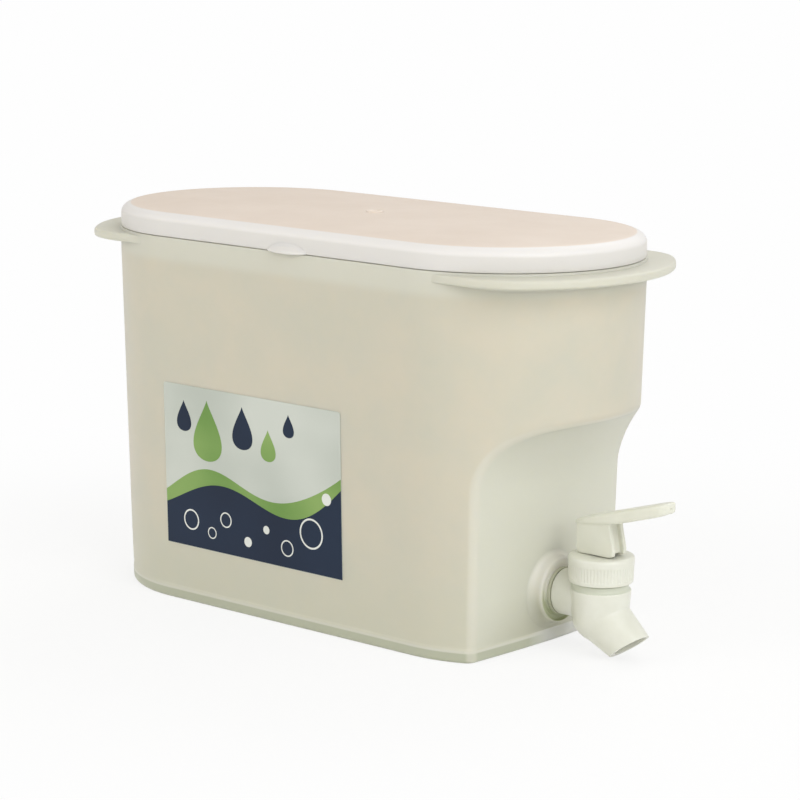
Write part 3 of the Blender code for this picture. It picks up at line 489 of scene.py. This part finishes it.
def printed(name, outline, lift):
    """A thin closed sheet over an outline of (x, z) points, laid on the leaning side
    of the tank: its front stands off the wall by the lift, its back by half of it."""
    rings = []
    for stand in (lift / 2, lift):
        rings.append(np.stack([outline[:, 0], -wall_radius(outline[:, 1]) - stand, outline[:, 1]], -1))
    return surface(name, np.array(rings), crease=30, flat_ends=True)


def rounded_box(low, high, corner, steps=8):
    """Outline of a rectangle whose corners are quarter circles."""
    turn = np.linspace(0, pi / 2, steps)
    corners = (
        (high[0], high[1], -1, -1),
        (low[0], high[1], 1, -1),
        (low[0], low[1], 1, 1),
        (high[0], low[1], -1, 1),
    )
    parts = []
    for quarter_turns, (x, z, inward_x, inward_z) in enumerate(corners):
        a = turn + quarter_turns * pi / 2
        x, z = x + inward_x * corner, z + inward_z * corner
        parts.append(np.stack([x + corner * np.cos(a), z + corner * np.sin(a)], -1))
    return np.concatenate(parts)


def drop_outline(x, z, size):
    """A falling drop: its width follows the sine of the angle times a power of the
    sine of half the angle, which draws the top of a circle out to a point."""
    a = np.linspace(0, 2 * pi, 73)[:-1]
    across = 0.575 * size * np.sin(a) * np.sin(a / 2) ** 1.6
    return np.stack([x + across, z + 0.62 * size * np.cos(a)], -1)


def ring_outline(x, z, radius):
    """A circle of 60 points."""
    a = np.linspace(0, 2 * pi, 61)[:-1]
    return np.stack([x + radius * np.cos(a), z + radius * np.sin(a)], -1)


label_film = printed("label_film", rounded_box(label_low, label_high, label_corner), 0.20 * mm)
wave_x = np.linspace(label_low[0] + label_margin, label_high[0] - label_margin, 90)
share = (wave_x - label_low[0]) / (label_high[0] - label_low[0])
# The crest is a sine across the label that climbs with the cube of the way, and the
# band above it is 3 to 8 mm high.
crest = label_low[1] + (22 + 7 * np.sin(2.2 * pi * share - 0.6) + 16 * share**3) * mm
base = np.full(2, label_low[1] + label_margin)
wave = np.concatenate([np.stack([wave_x, crest], -1), np.stack([wave_x[[-1, 0]], base], -1)])
band_top = crest + (5.5 + 2.5 * np.sin(3.1 * pi * share)) * mm
band = np.concatenate([np.stack([wave_x, band_top], -1), np.stack([wave_x, crest - mm], -1)[::-1]])
inks = {
    "navy": [printed("label_wave", wave, 0.23 * mm)],
    "green": [printed("label_band", band, 0.22 * mm)],
    "white": [],
}
# Drops in millimetres from the label's lower corner: x, z and size, with their ink.
drops = (
    (26.0, 52.5, 21.5, "green"),
    (47.0, 56.5, 15.0, "navy"),
    (12.0, 57.5, 11.0, "navy"),
    (62.0, 51.0, 11.0, "green"),
    (74.0, 61.0, 8.0, "navy"),
)
for number, (x, z, size, ink) in enumerate(drops):
    outline = drop_outline(label_low[0] + x * mm, label_low[1] + z * mm, size * mm)
    inks[ink].append(printed("label_drop_%d" % number, outline, 0.23 * mm))
# Bubbles in millimetres: x, z, radius, and the radius of the middle where there is one.
bubbles = (
    (15, 12, 4.6, 3.9),
    (27.5, 8, 2.6, 2.1),
    (36, 15, 3.4, 2.8),
    (49, 7.5, 2.2, 0),
    (86, 17, 6.6, 5.8),
    (72, 8.5, 3.6, 3.0),
    (95, 33, 2.6, 0),
    (60, 14.5, 1.8, 0),
)
for x, z, radius, _ in bubbles:
    outline = ring_outline(label_low[0] + x * mm, label_low[1] + z * mm, radius * mm)
    inks["white"].append(printed("label_bubble_%d" % len(inks["white"]), outline, 0.24 * mm))
for x, z, _, middle in bubbles:
    if middle:
        outline = ring_outline(label_low[0] + x * mm, label_low[1] + z * mm, middle * mm)
        name = "label_bubble_middle_%d" % len(inks["navy"])
        inks["navy"].append(printed(name, outline, 0.25 * mm))


def printed_film(name, light, dark):
    """Ink on a matt film: a soft change of tone over 45 mm, a halftone rosette of
    0.4 mm that barely shows, and a faint gloss."""
    material = bpy.data.materials.new(name)
    material.use_nodes = True
    shader = material.node_tree.nodes["Principled BSDF"]
    place = {"Vector": add_node(material, "ShaderNodeTexCoord").outputs["Object"]}
    tone = add_node(material, "ShaderNodeTexNoise", {"Scale": 1000 / 45, "Detail": 1.0}, place)
    dot_values = {"Scale": 1000 / 0.4, "Randomness": 0.15}
    dots = add_node(material, "ShaderNodeTexVoronoi", dot_values, place)
    mixed = add_node(
        material,
        "ShaderNodeMath",
        {1: 0.12},
        {0: dots.outputs["Distance"], 2: tone.outputs["Fac"]},
        operation="MULTIPLY_ADD",
    )
    spread = add_node(
        material,
        "ShaderNodeMapRange",
        {"From Min": 0.36, "From Max": 0.72},
        {"Value": mixed.outputs[0]},
    )
    ink = add_node(
        material,
        "ShaderNodeMixRGB",
        {"Color1": linear(dark), "Color2": linear(light)},
        {"Fac": spread.outputs[0]},
    )
    material.node_tree.links.new(ink.outputs[0], shader.inputs["Base Color"])
    shader.inputs["Roughness"].default_value = 0.45
    shader.inputs["Specular IOR Level"].default_value = 0.2
    shader.inputs["Coat Weight"].default_value = 0.1
    shader.inputs["Coat Roughness"].default_value = 0.3
    return material


# Offset inks on film: flat, cool colours with a faint gloss.
ink_materials = {
    "ground": printed_film("pale_ink_on_film", "#CBCFC6", "#B4BAB0"),
    "navy": printed_film("navy_ink_on_film", "#15263D", "#0F1D33"),
    "green": printed_film("green_ink_on_film", "#8AA860", "#628A40"),
    "white": printed_film("white_ink_on_film", "#DFE1DB", "#D2D5CE"),
}
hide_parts("label")
for ink, pieces in (("ground", [label_film]), *inks.items()):
    for piece in pieces:
        piece.data.materials.append(ink_materials[ink])
        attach(piece, "jug")


# LID
# A flush lid moulded from white polypropylene: a nearly flat plate with a rolled
# shoulder, a short skirt over the rim, a plug ring inside it and a finger tab.

plate_radius = 54.5 * mm
plate_z = 169.1 * mm
crown_rise = 1.2 * mm


def stadium_rows(radius, z):
    """Rings of one stadium shape at each radius and height. At radius 0 a ring is the
    line between the two centres, covered twice, which closes the plate."""
    angle = np.concatenate([np.linspace(-pi / 2, pi / 2, 97), np.linspace(pi / 2, 3 * pi / 2, 97)])
    centre = np.repeat([half_length, -half_length], 97)
    radius, z = np.asarray(radius)[:, None], np.asarray(z)[:, None]
    grid = [centre + radius * np.cos(angle) + shift_x, radius * np.sin(angle), z + 0 * angle]
    return np.stack(grid, -1)


def curve(points, steps):
    """Points along the Bezier curve of four (radius, height) control points."""
    t = np.linspace(0, 1, steps)[:, None]
    a, b, c, d = np.array(points)
    return (1 - t) ** 3 * a + 3 * (1 - t) ** 2 * t * b + 3 * (1 - t) * t**2 * c + t**3 * d


# The lid's section in millimetres, as radius and height, from the middle of the plate
# out over the shoulder, round the skirt and the plug ring, and back under the plate.
crown = plate_radius * np.linspace(0, 1, 24)
top = np.stack([crown, plate_z + crown_rise * (1 - (crown / plate_radius) ** 2)], -1) / mm
chamfer = curve([(54.5, 169.1), (56.2, 168.7), (57.2, 168.2), (58.05, 167.3)], 10)
shoulder = curve([(58.05, 167.3), (58.65, 166.65), (59.0, 166.0), (59.0, 165.0)], 10)
skirt = np.array([
    (59.0, 161.5), (59.0, 159.5), (58.94, 159.35), (58.8, 159.3), (58.0, 159.3), (57.8, 159.5),
    (57.8, 162.6),
])
plug = np.array([
    (57.5, 162.75), (56.6, 162.6), (56.55, 162.2), (56.3, 151.2), (56.1, 150.4), (55.6, 150.0),
    (55.0, 150.2), (54.6, 150.9), (54.5, 164.6), (53.9, 166.2), (52.5, 167.1),
])
inward = np.linspace(50, 0, 14)
under = np.stack([inward, 167.1 + 1.2 * (1 - (inward / 54.5) ** 2)], -1)
section = np.concatenate([top, chamfer[1:], shoulder[1:], skirt, plug, under]) * mm
lid_shell = surface("lid_shell", stadium_rows(section[:, 0], section[:, 1]), crease=40)


def lip(centre, half_width, section):
    """Sections across the finger tab, which shrink towards both ends as a power of a
    half circle does, so that the tab fades into the skirt at its sides and its top."""
    u = -np.cos(np.linspace(0, pi, 49))[:, None]
    share = np.maximum(1 - u**2, 0) ** 0.6
    x = centre[0] + half_width * u + 0 * section[:, 0]
    return np.stack([x, centre[1] - section[:, 0] * share, centre[2] + section[:, 1] * share], -1)


lip_section = mm * np.array([
    (0.2, 3.9), (0.45, 3.4), (0.8, 2.7), (1.3, 1.9), (2.0, 1.2), (2.7, 0.65), (3.15, 0.2),
    (3.3, -0.2), (3.15, -0.6), (2.7, -0.9), (1.6, -1.1), (0, -1.1), (-0.3, 1.5),
])
lip_place = (shift_x + 5.0 * mm, -58.7 * mm, 159.6 * mm)
lip_half_width = 11.4 * mm
finger_tab = surface("finger_tab", lip(lip_place, lip_half_width, lip_section), crease=60)

# The round mark that the mould's gate left on the plate: a low disc with a rim.
mark_profile = mm * np.array([
    (0, 0.2), (2.2, 0.2), (2.6, 0.4), (3.0, 0.64), (3.4, 0.56), (3.8, 0.15), (3.9, -0.6), (0, -0.6),
])
mark_place = (shift_x, 0, plate_z + crown_rise)


def turned(profile, centre, columns=96, along="Z"):
    """Grid of a profile of (radius, distance) turned about an axis through a centre."""
    angle = np.linspace(0, 2 * pi, columns + 1)[:-1]
    r, d = profile[:, 0][:, None], profile[:, 1][:, None]
    parts = [r * np.cos(angle), r * np.sin(angle), d + 0 * angle]
    if along == "X":
        parts = [parts[2], parts[0], parts[1]]
    if along == "Y":
        parts = [parts[0], parts[2], parts[1]]
    return np.stack(parts, -1) + np.array(centre)


gate_mark = surface("gate_mark", turned(mark_profile, mark_place, 48), crease=50)

# White polypropylene, warm on the plate. The shoulder is painted whiter where it faces
# the light, and the skirt below it is painted a little darker where it lies in shade.
lid_plastic = moulded_plastic(
    "white_polypropylene_moulded", "#E4D5C6", "#DFCFBF", 0.46, 30, 0.45, 50, 0.3
)
add_tones(lid_plastic, (
    ("polished", 0.0, 1.0, "#E5E2DE", 1.0),
    # painted shade on the skirt
    ("height", 166.8 * mm, 165.2 * mm, "#DCD9D4", 1.0),
))
for piece in (lid_shell, finger_tab, gate_mark):
    x, y, z = point_rows(piece)
    out = np.hypot(np.maximum(abs(x - shift_x) - half_length, 0), y)
    above_plug = z > 158 * mm
    # The shoulder's share, which is painted whiter where the light falls on it.
    keep_shares(piece, polished=ramp(out, plate_radius, plate_radius + 0.8 * mm) * above_plug)
    piece.data.materials.append(lid_plastic)
    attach(piece, "lid")
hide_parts("lid")


# TAP BODY
# The tap's housing, moulded from cream ABS: an upright barrel with a round foot, a
# slanted spout whose mouth is cut to face further down, and a neck to the tank.

barrel_x = 124.4 * mm + shift_x
barrel_axis = (barrel_x, 0, 0)
neck_axis = (shift_x, 0, inlet_z)
elbow = np.array([barrel_x, 0, 16.6 * mm])
mouth = np.array([139.7 * mm + shift_x, 0, 5.9 * mm])
mouth_tilt = radians(36)
waist_low = 27.2 * mm
waist_high = 30.5 * mm
waist_radius = 12.25 * mm


def slanted(start, end, start_radius, end_radius, rows=24, columns=96):
    """Grid of a cone between two points of the middle plane, closed by poles."""
    along = (end - start) / np.linalg.norm(end - start)
    across = np.array([along[2], 0, -along[0]])
    angle = np.linspace(0, 2 * pi, columns + 1)[:-1][:, None]
    circle = np.cos(angle) * across + np.sin(angle) * np.array([0, 1.0, 0])
    t = np.linspace(0, 1, rows)[:, None, None]
    body = start + t * (end - start) + (start_radius + t * (end_radius - start_radius)) * circle
    poles = [np.broadcast_to(place, (1, columns, 3)) for place in (start, end)]
    return np.concatenate([poles[0], body, poles[1]])


def modified(piece, kind, **settings):
    """Adds a modifier, applies it to the mesh and leaves the piece without it."""
    modifier = piece.modifiers.new(kind.lower(), kind)
    for key, value in settings.items():
        setattr(modifier, key, value)
    graph = bpy.context.evaluated_depsgraph_get()
    made = bpy.data.meshes.new_from_object(piece.evaluated_get(graph))
    piece.modifiers.clear()
    old, piece.data = piece.data, made
    bpy.data.meshes.remove(old)


def joined(name, pieces):
    """One piece of several closed shells, which may overlap."""
    shape = bmesh.new()
    for piece in pieces:
        shape.from_mesh(piece.data)
        bpy.data.objects.remove(piece)
    mesh = bpy.data.meshes.new(name)
    shape.to_mesh(mesh)
    shape.free()
    piece = bpy.data.objects.new(name, mesh)
    bpy.context.scene.collection.objects.link(piece)
    return piece


def flowed(piece, voxel, passes):
    """Melts overlapping shells into one skin of small quads, and smooths it a little,
    so that the shapes flow into one another with the small fillets of a moulding."""
    modified(piece, "REMESH", mode="VOXEL", voxel_size=voxel, use_smooth_shade=True)
    modified(piece, "SMOOTH", factor=0.5, iterations=passes)
    piece.data.shade_smooth()


def cut(piece, grid):
    """Cuts a closed shape out of a piece."""
    cutter = surface("cutter", grid, flat_ends=True)
    modified(piece, "BOOLEAN", operation="DIFFERENCE", object=cutter, solver="MANIFOLD")
    bpy.data.objects.remove(cutter)
    piece.data.shade_smooth()
    piece.data.set_sharp_from_angle(angle=radians(30))


def block(outline, low, high):
    """Grid of an outline of (x, z) points pushed along Y."""
    sides = [np.stack([outline[:, 0], np.full(len(outline), y), outline[:, 1]], -1) for y in (low, high)]
    return np.stack(sides)


foot = np.radians(np.linspace(90, 0, 16))
ball = np.stack([11.6 * np.cos(foot), 16.6 - 11.6 * np.sin(foot)], -1)
upright = np.array([
    (12.46, 27.0), (12.4, 27.4), (11.6, 27.7), (11.4, 28.2), (11.4, 30.2), (10.0, 30.2), (10.0, 38.9),
    (9.7, 39.2), (0, 39.2),
])
barrel = surface("barrel", turned(np.concatenate([ball, upright]) * mm, barrel_axis))
stream = (mouth - elbow) / np.linalg.norm(mouth - elbow)
spout = surface("spout", slanted(elbow, mouth + 5 * mm * stream, 11.3 * mm, 8.0 * mm))
neck_section = mm * np.array([
    (0, 83), (5.7, 83), (6.3, 83.6), (6.3, 105.9), (9.3, 105.9), (9.7, 106.3), (9.7, 107), (9.6, 114),
    (9.6, 118), (0, 118),
])
neck = surface("neck", turned(neck_section, neck_axis, along="X"))
tap_housing = joined("tap_housing", [barrel, spout, neck])
flowed(tap_housing, 0.36 * mm, 4)

# Cuts: everything past the mouth, the spout's bore, the chamber, the throat below the
# seat, and the bore of the neck.
cut_size = 40 * mm
across, down = np.array([(-1, -1), (1, -1), (1, 0), (-1, 0)]).T * cut_size
past_mouth = np.stack([
    across * cos(mouth_tilt) - down * sin(mouth_tilt),
    across * sin(mouth_tilt) + down * cos(mouth_tilt),
], -1)
cut(tap_housing, block(past_mouth + mouth[[0, 2]], -cut_size, cut_size))
cut(tap_housing, slanted(elbow, mouth + 8 * mm * stream, 4.0 * mm, 8.2 * mm)[1:-1])
chamber = np.array([(5.2, 19.0), (7.0, 19.0), (8.5, 20.5), (8.5, 46.0)]) * mm
cut(tap_housing, turned(chamber, barrel_axis))
throat = np.array([(4.6, 12.0), (4.6, 20.5)]) * mm
cut(tap_housing, turned(throat, barrel_axis))
bore = np.array([(3.6, 78.0), (3.6, 120.2)]) * mm
cut(tap_housing, turned(bore, neck_axis, along="X"))

# Cream ABS: an opaque, faintly green cream with a soft gloss and a few flow clouds.
# Painted shade darkens the shallow waist under the cap's overhang.
tap_plastic = moulded_plastic("cream_abs_moulded", "#E0E0D4", "#D8D8CA", 0.33, 14, 0.35, 25, 0.12)
add_tones(tap_plastic, [("waist", 0.0, 1.0, "#CCCFBE", 1.0)])
x, y, z = point_rows(tap_housing)
# The waist under the cap, which takes the painted shade.
waist = (np.hypot(x - barrel_x, y) < waist_radius) * (z > waist_low) * (z < waist_high)
keep_shares(tap_housing, waist=waist)
tap_housing.data.materials.clear()
tap_housing.data.materials.append(tap_plastic)
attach(tap_housing, "jug")
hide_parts("tap_body")


# TAP CAP
# The ring cap that holds the stem in the barrel, moulded from the same ABS. A plain
# band runs round its top, and fine upright ribs below it give the fingers a grip.

ribs = 60
rib_depth = 0.24
# The cap's section in millimetres, as radius, height and share of the ribs' depth, from
# the bore over the lower edge, up the outside and over the top to the stem's hole.
cap_section = np.array([
    (10.2, 39.8, 0), (10.2, 30.8, 0), (10.4, 30.6, 0), (12.7, 30.6, 0), (13.0, 30.7, 0),
    (13.15, 30.95, 0), (13.2, 31.6, 0), (13.22, 32.1, 0), (13.25, 32.4, 1), (13.4, 37.6, 1),
    (13.5, 38.0, 0.4), (13.55, 38.3, 0), (13.6, 39.6, 0), (13.6, 40.3, 0), (13.5, 40.8, 0),
    (13.2, 41.2, 0), (12.8, 41.42, 0), (12.3, 41.5, 0), (3.7, 41.5, 0), (3.3, 41.3, 0), (3.3, 39.8, 0),
])
angle = np.linspace(0, 2 * pi, ribs * 10 + 1)[:-1]
rib = 0.5 - 0.5 * np.cos(angle * ribs)
r = (cap_section[:, :1] - cap_section[:, 2:] * rib_depth * (1 - rib)) * mm
z = cap_section[:, 1:2] * mm + 0 * angle
grid = np.stack([barrel_x + r * np.cos(angle), r * np.sin(angle), z], -1)
cap_ring = surface("cap_ring", grid, crease=28, closed_rows=True)
cap_ring.data.materials.append(tap_plastic)
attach(cap_ring, "jug")
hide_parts("tap_cap")


# LEVER
# The cam lever, moulded in one piece from cream ABS: two cheeks whose feet are cams
# that roll on the cap, under a long paddle with a hollow below.

pin_z = 48.0 * mm
pin_place = (barrel_x, 0, pin_z)
cheek_inner = 2.6 * mm
cheek_outer = 4.6 * mm
lean = radians(16.2)
# The cheek's outline in millimetres from the pin: the cam grows evenly with the angle.
turn = np.radians(np.linspace(0, 26, 16))
cam_start, cam_rise = 6.2, 5.8
reach = cam_start + cam_rise * turn
cam_x = reach * np.sin(turn) + cam_rise * np.cos(turn)
cam_z = -reach * np.cos(turn) + cam_rise * np.sin(turn)
back = np.array([
    (9.3, cam_z[-1] + 2.4), (6.9, 8.0), (-8.8, 6.2), (-9.5, 5.2), (-9.4, -4.4), (-9.1, -5.4),
    (-8.4, -6.0), (-7.4, -6.2),
])
cheek = np.concatenate([np.stack([cam_x, cam_z], -1), back]) * mm + np.array([barrel_x, pin_z])
cheeks = []
for low, high in ((-cheek_outer, -cheek_inner), (cheek_inner, cheek_outer)):
    cheeks.append(surface("cheek", block(cheek, low, high), flat_ends=True))
web_outline = np.array([(7.4, -5.0), (5.0, 7.5), (3.8, 7.5), (6.2, -5.0)]) * mm + np.array([barrel_x, pin_z])
web = surface("web", block(web_outline, -3.0 * mm, 3.0 * mm), flat_ends=True)


def paddle(start, end, low, high, half_width, back_half_width, squareness, wedge=0):
    """A paddle along its own slope. Its sections are superellipses of a squareness, and
    it closes at both ends in a superellipse too. It narrows towards the back, where its
    underside rises by the wedge and its top falls by a third of it. At the tip, the
    underside ends a little before the top."""
    widening, rising, falling = 0.3, 0.45, 0.12  # shares of the length, from the back
    tip_undercut = 1.5 * mm
    t = (1 - np.cos(np.linspace(0, pi, 61))) / 2
    close = np.maximum(1 - abs(2 * t - 1) ** 9, 0) ** (1 / 3.2)
    widths = back_half_width + (half_width - back_half_width) * np.clip(t / widening, 0, 1) ** 0.8
    a = np.linspace(0, 2 * pi, 65)[:-1]
    power = 2 / squareness
    y = np.sign(np.cos(a)) * abs(np.cos(a)) ** power
    z = np.sign(np.sin(a)) * abs(np.sin(a)) ** power
    u = (start + (end - start) * t)[:, None] + 0 * a
    u = u - tip_undercut * (t[:, None] ** 8) * (1 - z) / 2
    low = low + wedge * (1 - np.clip(t / rising, 0, 1))[:, None]
    high = high - wedge * 0.35 * (1 - np.clip(t / falling, 0, 1))[:, None] ** 2
    v = (low + high) / 2 + (high - low) / 2 * (close[:, None] ** 0.6) * z
    w = (widths * close)[:, None] * y
    return np.stack([barrel_x + u * cos(lean) - v * sin(lean), w, pin_z + u * sin(lean) + v * cos(lean)], -1)


paddle_grid = paddle(-9.9 * mm, 38.6 * mm, 4.9 * mm, 10.2 * mm, 5.9 * mm, 4.8 * mm, 5, 3.2 * mm)
hollow_grid = paddle(12 * mm, 36.2 * mm, -1 * mm, 8.6 * mm, 4.3 * mm, 4.0 * mm, 8)
cam_lever = joined("cam_lever", cheeks + [web, surface("paddle", paddle_grid)])
flowed(cam_lever, 0.28 * mm, 5)
cut(cam_lever, hollow_grid)
pin_hole = np.array([(1.15, -4.1), (1.15, 4.1)]) * mm
cut(cam_lever, turned(pin_hole, pin_place, 48, along="Y"))

# The same ABS from a polished mould, so a little glossier.
lever_plastic = moulded_plastic("cream_abs_polished", "#E2E2D4", "#DBDBCC", 0.3, 14, 0.35, 20, 0.12)
cam_lever.data.materials.clear()
cam_lever.data.materials.append(lever_plastic)
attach(cam_lever, "lever")
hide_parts("lever")


# SPRING
# The return spring round the stem, coiled from stainless wire of 0.72 mm. It stands
# between the stem's collar and the cap, and is squeezed when the lever lifts the stem.

coil_low, coil_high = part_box("return_spring")
wire_radius = 0.36 * mm
coil_radius = 5.1 * mm
turns = 4.5
t = np.linspace(0, 1, 200)
around = 2 * pi * turns * t
climb = coil_low.z + wire_radius + (coil_high.z - coil_low.z - 2 * wire_radius) * t
helix = np.stack([barrel_x + coil_radius * np.cos(around), coil_radius * np.sin(around), climb], -1)


def tube(line, radius, sides=14):
    """Grid of circles square to a line, closed by poles at its ends."""
    along = np.gradient(line, axis=0)
    along /= np.linalg.norm(along, axis=1)[:, None]
    side = np.cross(along, (0, 0, 1.0))
    side /= np.linalg.norm(side, axis=1)[:, None]
    up = np.cross(side, along)
    a = np.linspace(0, 2 * pi, sides + 1)[:-1][None, :, None]
    body = line[:, None] + radius * (np.cos(a) * side[:, None] + np.sin(a) * up[:, None])
    ends = [np.broadcast_to(line[k], (1, sides, 3)) for k in (0, -1)]
    return np.concatenate([ends[0], body, ends[1]])


spring_coil = surface("spring_coil", tube(helix, wire_radius), crease=50)

# Drawn stainless wire: bright, with a fine grain of 0.3 mm that blurs the gloss.
spring_wire = bpy.data.materials.new("stainless_wire_drawn")
spring_wire.use_nodes = True
shader = spring_wire.node_tree.nodes["Principled BSDF"]
place = add_node(spring_wire, "ShaderNodeTexCoord").outputs["Object"]
grain_values = {"Scale": 1000 / 0.3, "Detail": 2.0}
grain = add_node(spring_wire, "ShaderNodeTexNoise", grain_values, {"Vector": place}).outputs["Fac"]
rough = add_node(spring_wire, "ShaderNodeMapRange", {"To Min": 0.22, "To Max": 0.42}, {"Value": grain})
steel = {"Color1": linear("#B9BCC0"), "Color2": linear("#CDCFD2")}
tone = add_node(spring_wire, "ShaderNodeMixRGB", steel, {"Fac": grain})
spring_wire.node_tree.links.new(tone.outputs[0], shader.inputs["Base Color"])
spring_wire.node_tree.links.new(rough.outputs[0], shader.inputs["Roughness"])
shader.inputs["Metallic"].default_value = 1.0
spring_coil.data.materials.append(spring_wire)
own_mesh(spring_coil)
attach(spring_coil, "stem")
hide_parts("return_spring")


# VALVE PARTS
# The stem and the lock nut are the same ABS, the cup and both gaskets are pressed from
# silicone, and the pin is turned from stainless bar.

pin_profile = np.array([(0, -4), (0.95, -4), (1.1, -3.8), (1.1, 3.8), (0.95, 4), (0, 4)]) * mm
lever_pin = surface("lever_pin_steel", turned(pin_profile, pin_place, 48, along="Y"))

# Pressed silicone: milky, matt and dusty, with a faint cloud.
silicone = moulded_plastic("silicone_pressed", "#DCD9CC", "#D0CDBE", 0.6, 6, 0.25, 10, 0.3)
# The outer gasket's silicone is painted a darker grey, which stands in for the shade that the tap's neck
# casts round it.
gasket_silicone = moulded_plastic(
    "grey_silicone_pressed", "#C0C1AB", "#B6B7A0", 0.6, 6, 0.25, 10, 0.2
)
for name, finish in (
    ("valve_stem", tap_plastic),
    ("lock_nut", tap_plastic),
    ("seat_cup", silicone),
    ("outer_gasket", gasket_silicone),
    ("inner_gasket", silicone),
):
    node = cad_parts[name]
    node.data.materials.clear()
    node.data.materials.append(finish)

# Turned stainless bar: it looks as the drawn wire does.
pin_steel = spring_wire.copy()
pin_steel.name = "stainless_bar_turned"
lever_pin.data.materials.append(pin_steel)
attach(lever_pin, "lever")
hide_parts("lever_pin")


# STUDIO
# A pale floor, broad soft lamps round the jug and a long lens at the photograph's
# angle. The floor turns plain white away from the jug.

floor = bpy.data.meshes.new("floor")
floor.from_pydata([(-12, -12, 0), (12, -12, 0), (12, 12, 0), (-12, 12, 0)], [], [(0, 1, 2, 3)])
floor = bpy.data.objects.new("floor", floor)
bpy.context.scene.collection.objects.link(floor)

# White paper. What the camera, the gloss and the clear parts see of it is four fifths
# plain white by the jug, where the rest is matt and takes the shadow, and all of it
# further away.
paper = bpy.data.materials.new("white_paper")
paper.use_nodes = True
paper.node_tree.nodes.clear()
place = add_node(paper, "ShaderNodeTexCoord").outputs["Object"]
away = add_node(paper, "ShaderNodeVectorMath", links={0: place}, operation="LENGTH")
far = add_node(
    paper,
    "ShaderNodeMapRange",
    {"From Min": 0.14, "From Max": 0.42, "To Min": 0.8, "To Max": 1.0},
    {"Value": away.outputs["Value"]},
    interpolation_type="SMOOTHSTEP",
)
rays = add_node(paper, "ShaderNodeLightPath").outputs
seen = rays["Is Camera Ray"]
for other in ("Is Glossy Ray", "Is Transmission Ray"):
    seen = add_node(paper, "ShaderNodeMath", links={0: seen, 1: rays[other]}, operation="MAXIMUM").outputs[0]
share = add_node(paper, "ShaderNodeMath", links={0: far.outputs[0], 1: seen}, operation="MULTIPLY")
matt = add_node(paper, "ShaderNodeBsdfDiffuse", {"Color": linear("#F6F6F4")})
white = add_node(paper, "ShaderNodeEmission", {"Color": linear("#FEFEFE"), "Strength": 1.0})
shaders = {0: share.outputs[0], 1: matt.outputs[0], 2: white.outputs[0]}
both = add_node(paper, "ShaderNodeMixShader", links=shaders)
add_node(paper, "ShaderNodeOutputMaterial", links={"Surface": both.outputs[0]})
floor.data.materials.append(paper)

# The world is plain white to the camera and lights the jug a little less.
world = bpy.data.worlds.new("studio")
bpy.context.scene.world = world
world.use_nodes = True
sky = world.node_tree.nodes["Background"]
sky.inputs["Color"].default_value = linear("#FFFEFC")
seen = add_node(world, "ShaderNodeLightPath").outputs["Is Camera Ray"]
level = add_node(world, "ShaderNodeMapRange", {"To Min": 0.6, "To Max": 1.0}, {"Value": seen})
world.node_tree.links.new(level.outputs[0], sky.inputs["Strength"])


def lamp(name, place, target, size, power, colour):
    """A square soft lamp that faces a target: its side in metres, its power in watts."""
    data = bpy.data.lights.new(name, "AREA")
    data.shape = "SQUARE"
    data.size = size
    data.energy = power
    data.color = linear(colour)[:3]
    made = bpy.data.objects.new(name, data)
    made.location = place
    made.rotation_euler = (Vector(target) - Vector(place)).to_track_quat("-Z", "Y").to_euler()
    bpy.context.scene.collection.objects.link(made)


lamp("key_lamp", (1.54, -0.41, 1.08), (0, 0, 0.08), 1.4, 19, "#F9FBFF")
lamp("side_lamp", (-0.9, -1.7, 0.9), (0, 0, 0.08), 1.4, 11, "#FFFDFA")
lamp("back_lamp", (-0.4, 1.5, 1.5), (0, 0, 0.1), 1.4, 9, "#FFFFFF")

lens = bpy.data.cameras.new("camera")
lens.sensor_width = 36
lens.lens = 129.34
camera = bpy.data.objects.new("camera", lens)
bpy.context.scene.collection.objects.link(camera)
eye = Vector((0.8053, -0.9011, 0.3186))
target = Vector((0.0388, -0.0364, 0.1001))
roll = Matrix.Rotation(0.0051, 4, "Z")
facing = (target - eye).to_track_quat("-Z", "Y").to_matrix().to_4x4()
camera.matrix_world = Matrix.Translation(eye) @ (facing @ roll)
bpy.context.scene.camera = camera
bpy.context.scene.view_settings.view_transform = "Standard"

bpy.context.view_layer.update()
